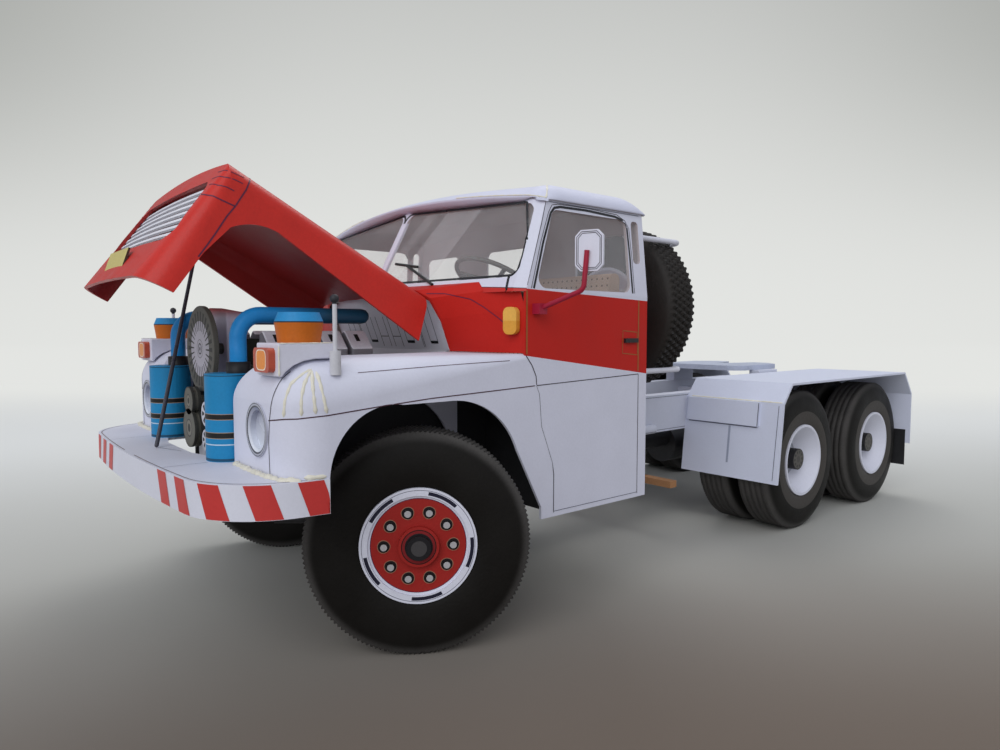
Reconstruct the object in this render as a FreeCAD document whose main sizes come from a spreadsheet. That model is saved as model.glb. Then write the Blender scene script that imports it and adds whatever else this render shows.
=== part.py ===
import FreeCAD, Part
import Sketcher
import math
import os
from FreeCAD import Vector, Placement, Rotation

# Card model of a three-axle semi truck tractor, bonnet propped open
# The truck's front faces -Y, its left side is +X and the ground is Z = 0
# Places called _y and _z are stations from the origin under the middle of the model

SIZES = [
    # Card, wire and the clearances between pieces
    ("card", 0.5), ("overrun", 3.0), ("seat_gap", 0.1), ("fit_gap", 0.05), ("free_gap", 0.3),
    # Wheels and tyres
    ("tyre_radius", 17.0), ("tyre_width", 9.2), ("tread_width", 7.0), ("shoulder_drop", 0.8),
    ("bulge_radius", 12.6), ("bead_inset", 0.5), ("rim_radius", 8.7), ("rim_wall", 0.6),
    ("rim_inner_width", 9.0), ("flange_width", 1.2), ("disc_inset", 0.4), ("disc_wall", 0.8),
    ("hub_radius", 3.0), ("hub_rise", 0.5), ("cap_radius", 1.8), ("cap_rise", 0.8),
    ("hub_tube_radius", 2.3), ("hub_tube_length", 4.5), ("axle_radius", 1.2), ("axle_cover", 1.0),
    ("nut_radius", 0.55), ("nut_height", 0.5), ("nut_circle", 5.1), ("nut_count", 10),
    ("dish_depth", 5.0), ("dish_floor_radius", 4.2), ("rear_hub_radius", 2.6), ("rear_hub_rise", 3.6),
    ("rear_rim_x", 39.0), ("dual_pitch", 10.6), ("inner_disc_x", 14.5),
    # Axle places
    ("front_axle_y", -62.5), ("rear_axle_one_y", 42.6), ("rear_axle_pitch", 40.6),
    ("kingpin_x", 27.25), ("wheel_offset", 10.0), ("steer_angle", 32.0),
    ("kingpin_radius", 0.8), ("kingpin_half", 5.2), ("knuckle_radius", 1.7), ("knuckle_half", 3.4),
    ("lug_height", 1.3), ("lug_reach", 5.0), ("lug_half_width", 1.8), ("axle_tube_radius", 2.2),
    ("link_radius", 0.8), ("link_spread", 20.0), ("link_run", 20.0),
    # Backbone tube, final drives and gearbox
    ("backbone_radius", 3.4), ("backbone_z", 19.5), ("backbone_front_y", -82.3),
    ("backbone_rear_reach", 7.0), ("drive_radius", 5.2), ("drive_length", 11.0),
    ("gearbox_width", 13.0), ("gearbox_length", 24.0), ("gearbox_height", 8.8), ("gearbox_y", -30.8),
    # Chassis frame
    ("rail_x", 16.3), ("rail_width", 3.6), ("rail_front_y", -82.8), ("rail_step_y", -20.8),
    ("rail_rear_reach", 12.0), ("rail_low_z", 24.0), ("rail_front_top_z", 29.0), ("rail_top_z", 33.0),
    ("member_length", 4.0), ("member_drop", 2.0), ("side_pipe_radius", 1.1),
    ("side_pipe_rear_y", 12), ("side_pipe_length", 24.0),
    ("crossbar_y", 13.4), ("crossbar_half", 21.0), ("crossbar_depth", 2.4), ("crossbar_height", 1.6),
    ("crossbar_drop", 3.3), ("hanger_half", 1.4),
    # Bumper
    ("bumper_top_z", 29.6), ("bumper_height", 4.6), ("bumper_proud", 0.2), ("bumper_nose_y", -98.7),
    ("bumper_bow", 1.0), ("bumper_flat_inset", 12.7), ("bumper_corner_inset", 4.2),
    ("bumper_corner_y", -94.1), ("bumper_side_inset", 0.5), ("bumper_side_y", -86.8),
    ("bumper_rear_y", -83), ("bay_half", 12.6), ("bay_front_y", -90.8), ("bay_corner", 1.6),
    # Body
    ("body_half", 38.0), ("fender_front_y", -88.5), ("fender_inner_x", 19.0), ("fender_top_z", 45.0),
    ("fender_flat_inset", 11.0), ("fender_side_turn", 5.7), ("fender_shoulder_z", 38.3),
    ("fender_corner_y", -82.8), ("sill_z", 17.5), ("door_line_y", -48.8), ("door_foot_y", -42.3),
    ("arch_front_y", -82.9), ("arch_rear_y", -45.1), ("arch_top_z", 38.4), ("arch_turn_z", 29.6),
    ("arch_low_z", 19.5), ("door_bend_high_z", 33.0), ("door_bend_low_z", 26.0),
    ("housing_x", 17.6), ("housing_rear_y", -40.8), ("housing_top_z", 44.2),
    ("headlight_inset", 9.9), ("headlight_z", 35.4), ("headlight_radius", 3.7), ("bezel_width", 0.5),
    ("headlight_depth", 1.8), ("bezel_rise", 0.25),
    ("lamp_box_inset", 3.5), ("lamp_box_width", 7.5), ("lamp_box_front_y", -88),
    ("lamp_box_rear_y", -68.8), ("lamp_box_top_z", 47.1), ("lamp_box_height", 4.4),
    ("lamp_width", 5.2), ("lamp_height", 3.2), ("lamp_depth", 0.9), ("lamp_round", 0.7),
    ("bowl_reach", 3.2), ("bowl_y", -83.3), ("bowl_foot_radius", 2.85), ("bowl_radius", 3.27),
    ("bowl_height", 2.8), ("bowl_cap_radius", 2.75), ("bowl_cap_height", 1.3),
    ("marker_inset", 1.4), ("marker_y", -81.2), ("marker_foot_radius", 0.75), ("marker_foot_z", 42.9),
    ("marker_foot_height", 3.2), ("marker_rod_radius", 0.3), ("marker_top_z", 52.9),
    ("marker_ball_radius", 0.6),
    # Cab
    ("cab_rear_y", -18), ("belt_z", 55.0), ("eave_z", 70.3), ("eave_inset", 1.6),
    ("pillar_foot_y", -48.6), ("pillar_head_y", -42.8), ("screen_corner_inset", 1.6),
    ("screen_foot_corner_y", -50), ("screen_head_corner_y", -44.1),
    ("screen_foot_middle_y", -55.1), ("screen_head_middle_y", -47), ("crown_rise", 2.5),
    ("cab_wall", 0.6), ("floor_z", 34.6), ("notch_half", 18.0),
    ("screen_low_z", 57.4), ("screen_high_z", 69.8), ("screen_high_rise", 1.8),
    ("screen_low_inset", 1.7), ("screen_high_inset", 2.8), ("pillar_half", 0.9),
    ("window_round", 1.6), ("door_window_low_z", 55.6), ("door_window_high_z", 68.8),
    ("door_window_front_low_y", -46.4), ("door_window_front_high_y", -41.4),
    ("door_window_rear_y", -22.8), ("quarter_front_y", -21.4), ("quarter_rear_y", -19.4),
    ("quarter_low_z", 61.0), ("rear_window_low_z", 56.5), ("rear_window_high_z", 67.0),
    ("rear_window_half", 9.0), ("rear_post", 11.0), ("rear_outer_inset", 4.2), ("glass", 0.2),
    ("roof_rise", 5.6), ("roof_overhang", 0.5), ("roof_shoulder", 2.9), ("roof_edge", 3.2),
    ("roof_brow", 8.0), ("roof_tail", 5.0),
    ("cowl_lap", 0.4), ("cowl_front_low_y", -50.9), ("cowl_front_top_y", -55.3),
    ("cowl_top_z", 56.7), ("cowl_corner", 5.0), ("cowl_rear_top_z", 58.2), ("firewall_foot_z", 29.6),
    ("firewall_inset", 1.4),
    # Inside the cab
    ("dash_height", 5.0), ("dash_depth", 3.2), ("seat_inset", 6.0), ("seat_height", 7.5),
    ("seat_front_y", -34.8), ("seat_depth", 13.0), ("seat_round", 1.2), ("back_height", 17.0),
    ("back_depth", 3.0), ("wheel_x", 21.0), ("wheel_y", -40.8), ("wheel_z", 57.6),
    ("wheel_ring_radius", 7.8), ("wheel_ring_wire", 0.42), ("wheel_tilt", 30.0),
    ("column_radius", 0.5), ("column_length", 9.5), ("wiper_wire", 0.26), ("wiper_half", 7.0),
    ("wiper_gap", 0.35), ("wiper_foot_x", 17.0), ("wiper_head_x", 7.4), ("wiper_rise", 3.6),
    # Engine bay
    ("engine_half", 8.5), ("engine_front_y", -83.3), ("engine_rear_y", -53.8),
    ("engine_top_z", 43.0), ("head_x", 9.5), ("head_width", 4.4), ("head_length", 3.4),
    ("head_height", 4.6), ("head_pitch", 4.4), ("head_first_y", -80), ("head_count", 6),
    ("head_sink", 2.0), ("head_round", 0.35),
    ("fan_y", -87.2), ("fan_z", 45.7), ("fan_radius", 7.1), ("fan_depth", 1.3), ("fan_rim", 0.8),
    ("fan_boss_radius", 1.6), ("fan_dish", 0.5), ("shaft_radius", 0.8),
    ("pulley_y", -89.2), ("pulley_depth", 1.4), ("pulley_groove", 0.35), ("idler_radius", 2.3),
    ("idler_z", 37.2), ("tower_length", 5.5),
    ("crank_radius", 3.2), ("crank_z", 32.7), ("generator_x", 5.6), ("generator_z", 35.4),
    ("generator_radius", 2.0), ("generator_length", 5.0), ("drum_x", 5.4), ("drum_z", 31.2),
    ("drum_radius", 1.7),
    ("cleaner_x", 15.3), ("cleaner_y", -87.8), ("cleaner_radius", 3.4), ("cleaner_height", 12.8),
    ("collar_y", -86.3), ("collar_radius", 1.75), ("collar_height", 1.6), ("pipe_radius", 1.5),
    ("pipe_bend", 3.5), ("pipe_z", 50.0), ("pipe_rear_y", -56.8),
    # Bonnet, measured along its top from the hinge and down from its top
    ("hinge_y", -55), ("hinge_z", 54.5), ("open_angle", 28.3), ("bonnet_half", 20.6),
    ("bonnet_crown", 0.9), ("bonnet_round", 2.4), ("bonnet_rear_depth", 7.8), ("bonnet_rear_rake", 1.7),
    ("bonnet_arch_start_back", 9.5), ("bonnet_arch_depth", 5.2), ("bonnet_arch_turn_back", 3.1),
    ("bonnet_arch_turn_depth", 8.4), ("bonnet_nose_turn_back", 1.6), ("bonnet_nose_turn_depth", 13.5),
    ("bonnet_side_end_back", 0.7), ("bonnet_depth", 20.3), ("bonnet_top_side", 37.0),
    ("bonnet_top_nose", 1.2), ("bonnet_low_nose", 5.2), ("bonnet_low_corner", 4.4),
    ("bonnet_top_corner", 1.1), ("bonnet_bow", 0.4), ("bonnet_arch_bulge", 0.6),
    ("grille_half_top", 17.2), ("grille_half_low", 19.0), ("grille_top", 3.0), ("grille_low", 14.0),
    ("grille_round", 2.4), ("slat_count", 7), ("slat_height", 0.55), ("slat_depth", 0.4),
    ("plate_half", 6.0), ("plate_top", 14.9), ("plate_height", 3.2),
    ("plate_thick", 0.3),
    # Bonnet stay, a wire from its foot on the bumper to the far edge of the bonnet
    ("stay_foot_x", -1.8), ("stay_foot_y", -93.8), ("stay_wire", 0.33), ("stay_tip_x", -20.0),
    ("stay_tip_y", -81.7), ("stay_tip_z", 62.2),
    # Mirrors and side lamps
    ("mirror_reach", 9.0), ("mirror_y", -43.8), ("mirror_z", 61.0), ("mirror_width", 4.6),
    ("mirror_height", 6.3), ("mirror_corner", 0.9), ("mirror_turn", 22.0), ("mirror_arm", 0.4),
    ("mirror_arm_bend", 1.4),
    ("mirror_foot_y", -46.4), ("mirror_foot_z", 52.2), ("mirror_foot_size", 1.7),
    ("mirror_elbow_reach", 8.4), ("mirror_elbow_z", 55.0), ("side_lamp_share", 0.86), ("side_lamp_z", 50.3),
    ("side_lamp_width", 2.6), ("side_lamp_height", 4.4), ("side_lamp_round", 1.0), ("side_lamp_depth", 1.0),
    # Door handles
    ("handle_y", -24.6), ("handle_z", 46.5), ("handle_length", 3.6), ("handle_height", 0.8),
    ("handle_rise", 0.5),
    # Spare wheel, seen behind the left side of the cab
    ("spare_x", 20.5), ("spare_y", -5.5), ("spare_z", 53.4), ("hoop_wire", 0.55), ("hoop_top_z", 66.9),
    ("hoop_low_z", 40.6), ("hoop_rear_y", 0.6), ("hoop_round", 3.0),
    # Fifth wheel
    ("coupling_y", 66.2), ("coupling_half", 14.0), ("coupling_length", 25.0), ("coupling_top_z", 38.7),
    ("coupling_plate", 1.4), ("coupling_bore", 0.8), ("throat_half", 4.5), ("coupling_round", 5.0),
    ("pedestal_length", 10.0), ("pedestal_width", 3.0),
    # Rear mudguards
    ("guard_inner_x", 16.3), ("guard_outer_x", 42.0), ("guard_front_room", 1.3),
    ("guard_front_lean", 2.1), ("guard_low_z", 13.8), ("guard_knee_z", 32.1), ("guard_top_z", 36.6),
    ("guard_front_turn_run", 5.9), ("guard_rear_turn_run", 5.4), ("guard_rear_room", 1.0),
    ("guard_rear_knee_z", 30.2), ("guard_rear_low_z", 15.4), ("locker_inner_x", 17.2),
    ("locker_outer_x", 36.4), ("locker_low_z", 26.5), ("locker_depth", 0.7),
    ("flap_low_z", 8.9), ("flap_lap", 4.0), ("flap_inset", 1.2), ("flap_card", 0.25),
]

document = FreeCAD.newDocument("TractorUnit")
sheet = document.addObject("Spreadsheet::Sheet", "Sizes")
for row, (word, number) in enumerate(SIZES, 1):
    sheet.set("A%d" % row, word)
    sheet.set("B%d" % row, str(number))
    sheet.setAlias("B%d" % row, word)
document.recompute()


class Size(float):
    """A number that remembers the cells of the sheet that it is worked out from."""

    def __new__(cls, number, text):
        made = float.__new__(cls, number)
        made.text = text
        return made

    def __add__(self, other):
        return joined(self, "+", other, float(self) + float(other))

    def __radd__(self, other):
        return joined(other, "+", self, float(other) + float(self))

    def __sub__(self, other):
        return joined(self, "-", other, float(self) - float(other))

    def __rsub__(self, other):
        return joined(other, "-", self, float(other) - float(self))

    def __mul__(self, other):
        return joined(self, "*", other, float(self) * float(other))

    def __rmul__(self, other):
        return joined(other, "*", self, float(other) * float(self))

    def __truediv__(self, other):
        return joined(self, "/", other, float(self) / float(other))

    def __neg__(self):
        return joined(-1, "*", self, -float(self))


def cell_text(number):
    return number.text if isinstance(number, Size) else repr(float(number))


def joined(first, sign, second, number):
    return Size(number, "(%s %s %s)" % (cell_text(first), sign, cell_text(second)))


class Sheet:
    """Gives each named size as an attribute."""

    def __getattr__(self, word):
        return Size(float(sheet.get(word)), "Sizes." + word)


size = Sheet()

# Places that follow the rear axles, widths that follow the body and places that follow the bonnet
size.rear_axle_two_y = size.rear_axle_one_y + size.rear_axle_pitch
size.rail_rear_y = size.rear_axle_two_y + size.rail_rear_reach
size.backbone_rear_y = size.rear_axle_two_y + size.backbone_rear_reach
size.guard_front_low_y = size.rear_axle_one_y - size.tyre_radius - size.guard_front_room
size.guard_front_top_y = size.guard_front_low_y + size.guard_front_lean
size.guard_front_bend_y = size.guard_front_low_y + size.guard_front_turn_run
size.guard_rear_knee_y = size.rear_axle_two_y + size.tyre_radius + size.guard_rear_room
size.guard_rear_bend_y = size.guard_rear_knee_y - size.guard_rear_turn_run
size.eave_half = size.body_half - size.eave_inset
size.screen_outer_low_x = size.body_half - size.screen_low_inset
size.screen_outer_high_x = size.body_half - size.screen_high_inset
size.rear_outer_half = size.body_half - size.rear_outer_inset
size.fender_corner_x = size.body_half - size.fender_side_turn
size.fender_flat_inner_x = size.body_half - size.fender_flat_inset
size.headlight_x = size.body_half - size.headlight_inset
size.lamp_box_outer_x = size.body_half - size.lamp_box_inset
size.lamp_box_inner_x = size.lamp_box_outer_x - size.lamp_box_width
size.bowl_x = size.lamp_box_inner_x + size.bowl_reach
size.marker_x = size.body_half - size.marker_inset
size.bumper_half = size.body_half + size.bumper_proud
size.bumper_side_x = size.bumper_half - size.bumper_side_inset
size.bumper_corner_x = size.bumper_half - size.bumper_corner_inset
size.bumper_flat_half = size.bumper_half - size.bumper_flat_inset
size.cowl_half = size.bonnet_half + size.cowl_lap
size.seat_half = size.body_half - size.seat_inset
size.mirror_x = size.body_half + size.mirror_reach
size.mirror_elbow_x = size.body_half + size.mirror_elbow_reach
size.bonnet_arch_start = size.bonnet_top_side - size.bonnet_arch_start_back
size.bonnet_arch_turn = size.bonnet_top_side - size.bonnet_arch_turn_back
size.bonnet_nose_turn = size.bonnet_top_side - size.bonnet_nose_turn_back
size.bonnet_side_end = size.bonnet_top_side - size.bonnet_side_end_back
size.bonnet_reach = size.bonnet_top_side + size.bonnet_low_nose + size.overrun

# How far the middle of a quarter arc lies from its axis, and from the corner outside it
ARC_SHARE = math.sin(math.pi / 4)
CORNER_SHARE = 1 - ARC_SHARE
ORIGIN = Vector(0, 0, 0)
ALONG_X = Vector(1, 0, 0)
ALONG_Y = Vector(0, 1, 0)
ALONG_Z = Vector(0, 0, 1)
SIDES = (("left", 1), ("right", -1))
nodes = []


def bind(thing, **properties):
    """Ties properties of an object to the cells that their values come from."""
    for word, number in properties.items():
        thing.setExpression(word, cell_text(number))


def keep(thing, label):
    """Names a finished sub-part and lists it for writing."""
    thing.Label = label
    nodes.append(thing)
    return thing


def made_shape(label):
    """The shape of a sub-part that is already made."""
    document.recompute()
    return [thing.Shape for thing in nodes if thing.Label == label][0]


def largest(shape):
    return max(shape.Solids, key=lambda solid: solid.Volume)


def new_body(name):
    return document.addObject("PartDesign::Body", name)


def sketch_on(body, name, role, lift=0):
    """A sketch on one of the body's own planes, lifted along the plane's normal."""
    sketch = body.newObject("Sketcher::SketchObject", name)
    plane = [item for item in body.Origin.OriginFeatures if item.Role == role][0]
    sketch.AttachmentSupport = [(plane, "")]
    sketch.MapMode = "FlatFace"
    if lift:
        sketch.setExpression("AttachmentOffset.Base.z", cell_text(lift))
    return sketch


def closed_outline(sketch, points):
    """A closed outline of straight edges whose corners are dimensioned from the origin."""
    first = sketch.GeometryCount
    count = len(points)
    for index in range(count):
        start = Vector(float(points[index][0]), float(points[index][1]), 0)
        after = points[(index + 1) % count]
        sketch.addGeometry(Part.LineSegment(start, Vector(float(after[0]), float(after[1]), 0)))
    for index in range(count):
        follower = first + (index + 1) % count
        sketch.addConstraint(Sketcher.Constraint("Coincident", first + index, 2, follower, 1))
        for way, place in zip(("DistanceX", "DistanceY"), points[index]):
            held = sketch.addConstraint(
                Sketcher.Constraint(way, -1, 1, first + index, 1, float(place)))
            if isinstance(place, Size):
                sketch.setExpression("Constraints[%d]" % held, place.text)


def circle(sketch, middle_x, middle_y, radius):
    """A circle with its centre and radius dimensioned."""
    middle = Vector(float(middle_x), float(middle_y), 0)
    number = sketch.addGeometry(Part.Circle(middle, ALONG_Z, float(radius)))
    for way, place in (("DistanceX", middle_x), ("DistanceY", middle_y)):
        held = sketch.addConstraint(Sketcher.Constraint(way, -1, 1, number, 3, float(place)))
        if isinstance(place, Size):
            sketch.setExpression("Constraints[%d]" % held, place.text)
    held = sketch.addConstraint(Sketcher.Constraint("Radius", number, float(radius)))
    sketch.setExpression("Constraints[%d]" % held, cell_text(radius))


def pad(body, name, sketch, length, both_ways=False, backwards=False):
    feature = body.newObject("PartDesign::Pad", name)
    feature.Profile = sketch
    feature.Midplane = both_ways
    feature.Reversed = backwards
    bind(feature, Length=length)
    return feature


def pocket(body, name, sketch, length, backwards=False, both_ways=False):
    feature = body.newObject("PartDesign::Pocket", name)
    feature.Profile = sketch
    feature.Reversed = backwards
    feature.Midplane = both_ways
    bind(feature, Length=length)
    return feature


def turned(name, outline):
    """A body turned about its own X axis from an outline of (along the axis, radius) points."""
    body = new_body(name)
    sketch = sketch_on(body, name + "Outline", "XY_Plane")
    closed_outline(sketch, outline)
    feature = body.newObject("PartDesign::Revolution", name + "Turn")
    feature.Profile = sketch
    feature.ReferenceAxis = (sketch, ["H_Axis"])
    feature.Angle = 360
    return body


def rounded_edges(body, name, radius, picked):
    """Rounds the body's edges whose middle and direction pass the given test."""
    document.recompute()
    names = []
    for number, edge in enumerate(body.Shape.Edges, 1):
        middle = edge.valueAt((edge.FirstParameter + edge.LastParameter) / 2)
        along = edge.tangentAt((edge.FirstParameter + edge.LastParameter) / 2)
        if picked(middle, along):
            names.append("Edge%d" % number)
    before = body.Tip
    feature = body.newObject("PartDesign::Fillet", name)
    feature.Base = (before, names)
    bind(feature, Radius=radius)
    return feature


def box(name, length, width, height, corner):
    """A plain block; the corner is its lowest one."""
    thing = document.addObject("Part::Box", name)
    bind(thing, Length=length, Width=width, Height=height)
    place(thing, corner)
    return thing


def cylinder(name, radius, length, corner, along=ALONG_Z):
    thing = document.addObject("Part::Cylinder", name)
    bind(thing, Radius=radius, Height=length)
    thing.Placement = Placement(ORIGIN, Rotation(ALONG_Z, along))
    place(thing, corner)
    return thing


def place(thing, spot):
    for word, number in zip("xyz", spot):
        thing.setExpression("Placement.Base." + word, cell_text(number))


def fused(name, things):
    joint = document.addObject("Part::MultiFuse", name)
    joint.Shapes = things
    return joint


def cut(name, base, tool):
    thing = document.addObject("Part::Cut", name)
    thing.Base = base
    thing.Tool = tool
    return thing


def grouped(name, things):
    group = document.addObject("Part::Compound", name)
    group.Links = things
    return group


def shaped(name, shape):
    """A sub-part whose curved skin is worked out with the geometry functions."""
    thing = document.addObject("Part::Feature", name)
    thing.Shape = shape
    return thing


def wire(points):
    corners = [Vector(*point) for point in points]
    return Part.makePolygon(corners + corners[:1])


def prism(points, run):
    return Part.Face(wire(points)).extrude(Vector(*run))


def rounded_wire(points, radius):
    """A flat closed outline with every corner rounded by a tangent arc."""
    corners = [Vector(*point) for point in points]
    count = len(corners)
    arcs = []
    for index in range(count):
        corner = corners[index]
        back = (corners[index - 1] - corner).normalize()
        ahead = (corners[(index + 1) % count] - corner).normalize()
        half = back.getAngle(ahead) / 2
        run = radius / math.tan(half)
        middle = (back + ahead).normalize()
        crest = corner + middle * (radius / math.sin(half) - radius)
        arcs.append((corner + back * run, crest, corner + ahead * run))
    edges = []
    for index in range(count):
        first, crest, last = arcs[index]
        edges.append(Part.Arc(first, crest, last).toShape())
        following = arcs[(index + 1) % count][0]
        if (following - last).Length > radius * 0.001:
            edges.append(Part.LineSegment(last, following).toShape())
    return Part.Wire(edges)


def rounded_prism(points, radius, run):
    return Part.Face(rounded_wire(points, radius)).extrude(Vector(*run))


def mirrored(shape):
    return shape.mirror(ORIGIN, ALONG_X)


def pair(shape):
    """The left piece and its mirror image on the right."""
    return Part.makeCompound([shape, mirrored(shape)])


def bent_tube(points, radius, bend):
    """A round bar or tube along straight runs joined by tangent arcs."""
    spots = [Vector(*point) for point in points]
    edges = []
    start = spots[0]
    for index in range(1, len(spots) - 1):
        corner = spots[index]
        back = (spots[index - 1] - corner).normalize()
        ahead = (spots[index + 1] - corner).normalize()
        half = back.getAngle(ahead) / 2
        run = bend / math.tan(half)
        crest = corner + (back + ahead).normalize() * (bend / math.sin(half) - bend)
        edges.append(Part.LineSegment(start, corner + back * run).toShape())
        edges.append(Part.Arc(corner + back * run, crest, corner + ahead * run).toShape())
        start = corner + ahead * run
    edges.append(Part.LineSegment(start, spots[-1]).toShape())
    path = Part.Wire(edges)
    ring = Part.Wire(Part.makeCircle(radius, spots[0], spots[1] - spots[0]))
    return path.makePipeShell([ring], True, False, 2)


# Wheels: pressed rims with card tyres, single in front and twin behind
def tyre(name):
    half = size.tyre_width / 2
    tread_half = size.tread_width / 2
    bead = size.rim_radius + size.fit_gap
    shoulder = size.tyre_radius - size.shoulder_drop
    return turned(name, [
        (half - size.bead_inset, bead), (half, size.bulge_radius),
        (tread_half + size.bead_inset, shoulder), (tread_half, size.tyre_radius),
        (-tread_half, size.tyre_radius), (-tread_half - size.bead_inset, shoulder),
        (-half, size.bulge_radius), (size.bead_inset - half, bead)])


def front_wheel(name):
    bore = size.axle_radius + size.fit_gap
    inner = size.rim_radius - size.rim_wall
    floor = -size.disc_inset
    back = -size.disc_inset - size.disc_wall
    body = turned(name, [
        (0, size.rim_radius), (0, size.rim_radius - size.flange_width),
        (floor, size.rim_radius - size.flange_width), (floor, size.hub_radius),
        (size.hub_rise, size.hub_radius), (size.hub_rise, size.cap_radius),
        (size.hub_rise + size.cap_rise, size.cap_radius), (size.hub_rise + size.cap_rise, 0),
        (-size.axle_cover, 0), (-size.axle_cover, bore), (-size.hub_tube_length, bore),
        (-size.hub_tube_length, size.hub_tube_radius), (back, size.hub_tube_radius),
        (back, inner), (-size.rim_inner_width, inner), (-size.rim_inner_width, size.rim_radius)])
    nut = sketch_on(body, name + "Nut", "YZ_Plane", -size.disc_inset)
    circle(nut, size.nut_circle, 0, size.nut_radius)
    raised = pad(body, name + "NutPad", nut, size.nut_height)
    ring = body.newObject("PartDesign::PolarPattern", name + "Nuts")
    ring.Originals = [raised]
    ring.Axis = (body.Origin.OriginFeatures[0], [""])
    ring.Angle = 360
    bind(ring, Occurrences=size.nut_count)
    body.Tip = ring
    return body


def rear_wheels(name):
    bore = size.axle_radius + size.fit_gap
    inner = size.rim_radius - size.rim_wall
    hub_end = size.rear_hub_rise - size.dish_depth
    back = -size.dish_depth - size.disc_wall
    disc = -size.inner_disc_x
    second = -size.dual_pitch
    return turned(name, [
        (0, size.rim_radius), (0, inner), (-size.dish_depth, size.dish_floor_radius),
        (-size.dish_depth, size.rear_hub_radius), (hub_end, size.rear_hub_radius), (hub_end, 0),
        (hub_end - size.axle_cover, 0), (hub_end - size.axle_cover, bore),
        (second - size.rim_inner_width, bore), (second - size.rim_inner_width, size.hub_tube_radius),
        (disc, size.hub_tube_radius), (disc, inner), (second - size.rim_inner_width, inner),
        (second - size.rim_inner_width, size.rim_radius), (second, size.rim_radius), (second, inner),
        (disc + size.disc_wall, inner), (disc + size.disc_wall, size.hub_tube_radius),
        (back, size.hub_tube_radius), (back, size.dish_floor_radius),
        (-size.flange_width, inner), (-size.rim_inner_width, inner),
        (-size.rim_inner_width, size.rim_radius)])


def at_kingpin(thing, side, shift):
    """Puts a piece on the turned left or right kingpin, shifted along the wheel's axle."""
    turn = float(-size.steer_angle) if side > 0 else 180 - float(size.steer_angle)
    turned_way = Rotation(ALONG_Z, turn)
    spot = Vector(side * float(size.kingpin_x), float(size.front_axle_y), float(size.tyre_radius))
    thing.Placement = Placement(spot + turned_way.multVec(ALONG_X * float(shift)), turned_way)


def front_wheels_and_knuckles():
    for word, side in SIDES:
        rubber = tyre("TyreFront" + word)
        at_kingpin(rubber, side, size.wheel_offset - size.tyre_width / 2)
        keep(rubber, "tyre_front_" + word)
        wheel = front_wheel("WheelFront" + word)
        at_kingpin(wheel, side, size.wheel_offset)
        keep(wheel, "wheel_front_" + word)
        reach = size.wheel_offset - size.axle_cover - size.free_gap
        pin = cylinder("Kingpin" + word, size.kingpin_radius, size.kingpin_half * 2,
                       (0, 0, -size.kingpin_half))
        barrel = cylinder("Barrel" + word, size.knuckle_radius, size.knuckle_half * 2,
                          (0, 0, -size.knuckle_half))
        stub = cylinder("Stub" + word, size.axle_radius, reach, (0, 0, 0), ALONG_X)
        knuckle = fused("Knuckle" + word, [pin, barrel, stub])
        at_kingpin(knuckle, side, 0)
        keep(knuckle, "steering_knuckle_" + word)


def rear_wheel_sets():
    for number, station in (("one", size.rear_axle_one_y),
                            ("two", size.rear_axle_two_y)):
        for word, side in SIDES:
            turn = 0 if side > 0 else 180
            tail = number + word
            outer = tyre("TyreOuter" + tail)
            inner = tyre("TyreInner" + tail)
            offset = size.rear_rim_x - size.tyre_width / 2
            for rubber, shift in ((outer, offset), (inner, offset - size.dual_pitch)):
                rubber.Placement = Placement(ORIGIN, Rotation(ALONG_Z, turn))
                place(rubber, (side * shift, station, size.tyre_radius))
            keep(grouped("TwinTyres" + tail, [outer, inner]), "twin_tyres_%s_%s" % (number, word))
            wheel = rear_wheels("TwinWheel" + tail)
            wheel.Placement = Placement(ORIGIN, Rotation(ALONG_Z, turn))
            place(wheel, (side * size.rear_rim_x, station, size.tyre_radius))
            keep(wheel, "twin_wheel_%s_%s" % (number, word))


# Running gear: backbone tube with its final drives, and the half axles
def backbone():
    length = size.backbone_rear_y - size.backbone_front_y
    tube = cylinder("BackboneTube", size.backbone_radius, length,
                    (0, size.backbone_rear_y, size.backbone_z), -ALONG_Y)
    drives = []
    stations = (size.front_axle_y, size.rear_axle_one_y, size.rear_axle_two_y)
    for number, station in enumerate(stations):
        drives.append(cylinder("FinalDrive%d" % number, size.drive_radius, size.drive_length,
                               (0, station + size.drive_length / 2, size.tyre_radius), -ALONG_Y))
    gearbox = box("Gearbox", size.gearbox_width, size.gearbox_length, size.gearbox_height,
                  (-size.gearbox_width / 2, size.gearbox_y, size.backbone_z - size.gearbox_height / 2))
    keep(fused("Backbone", [tube, gearbox] + drives), "backbone_tube")


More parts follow.
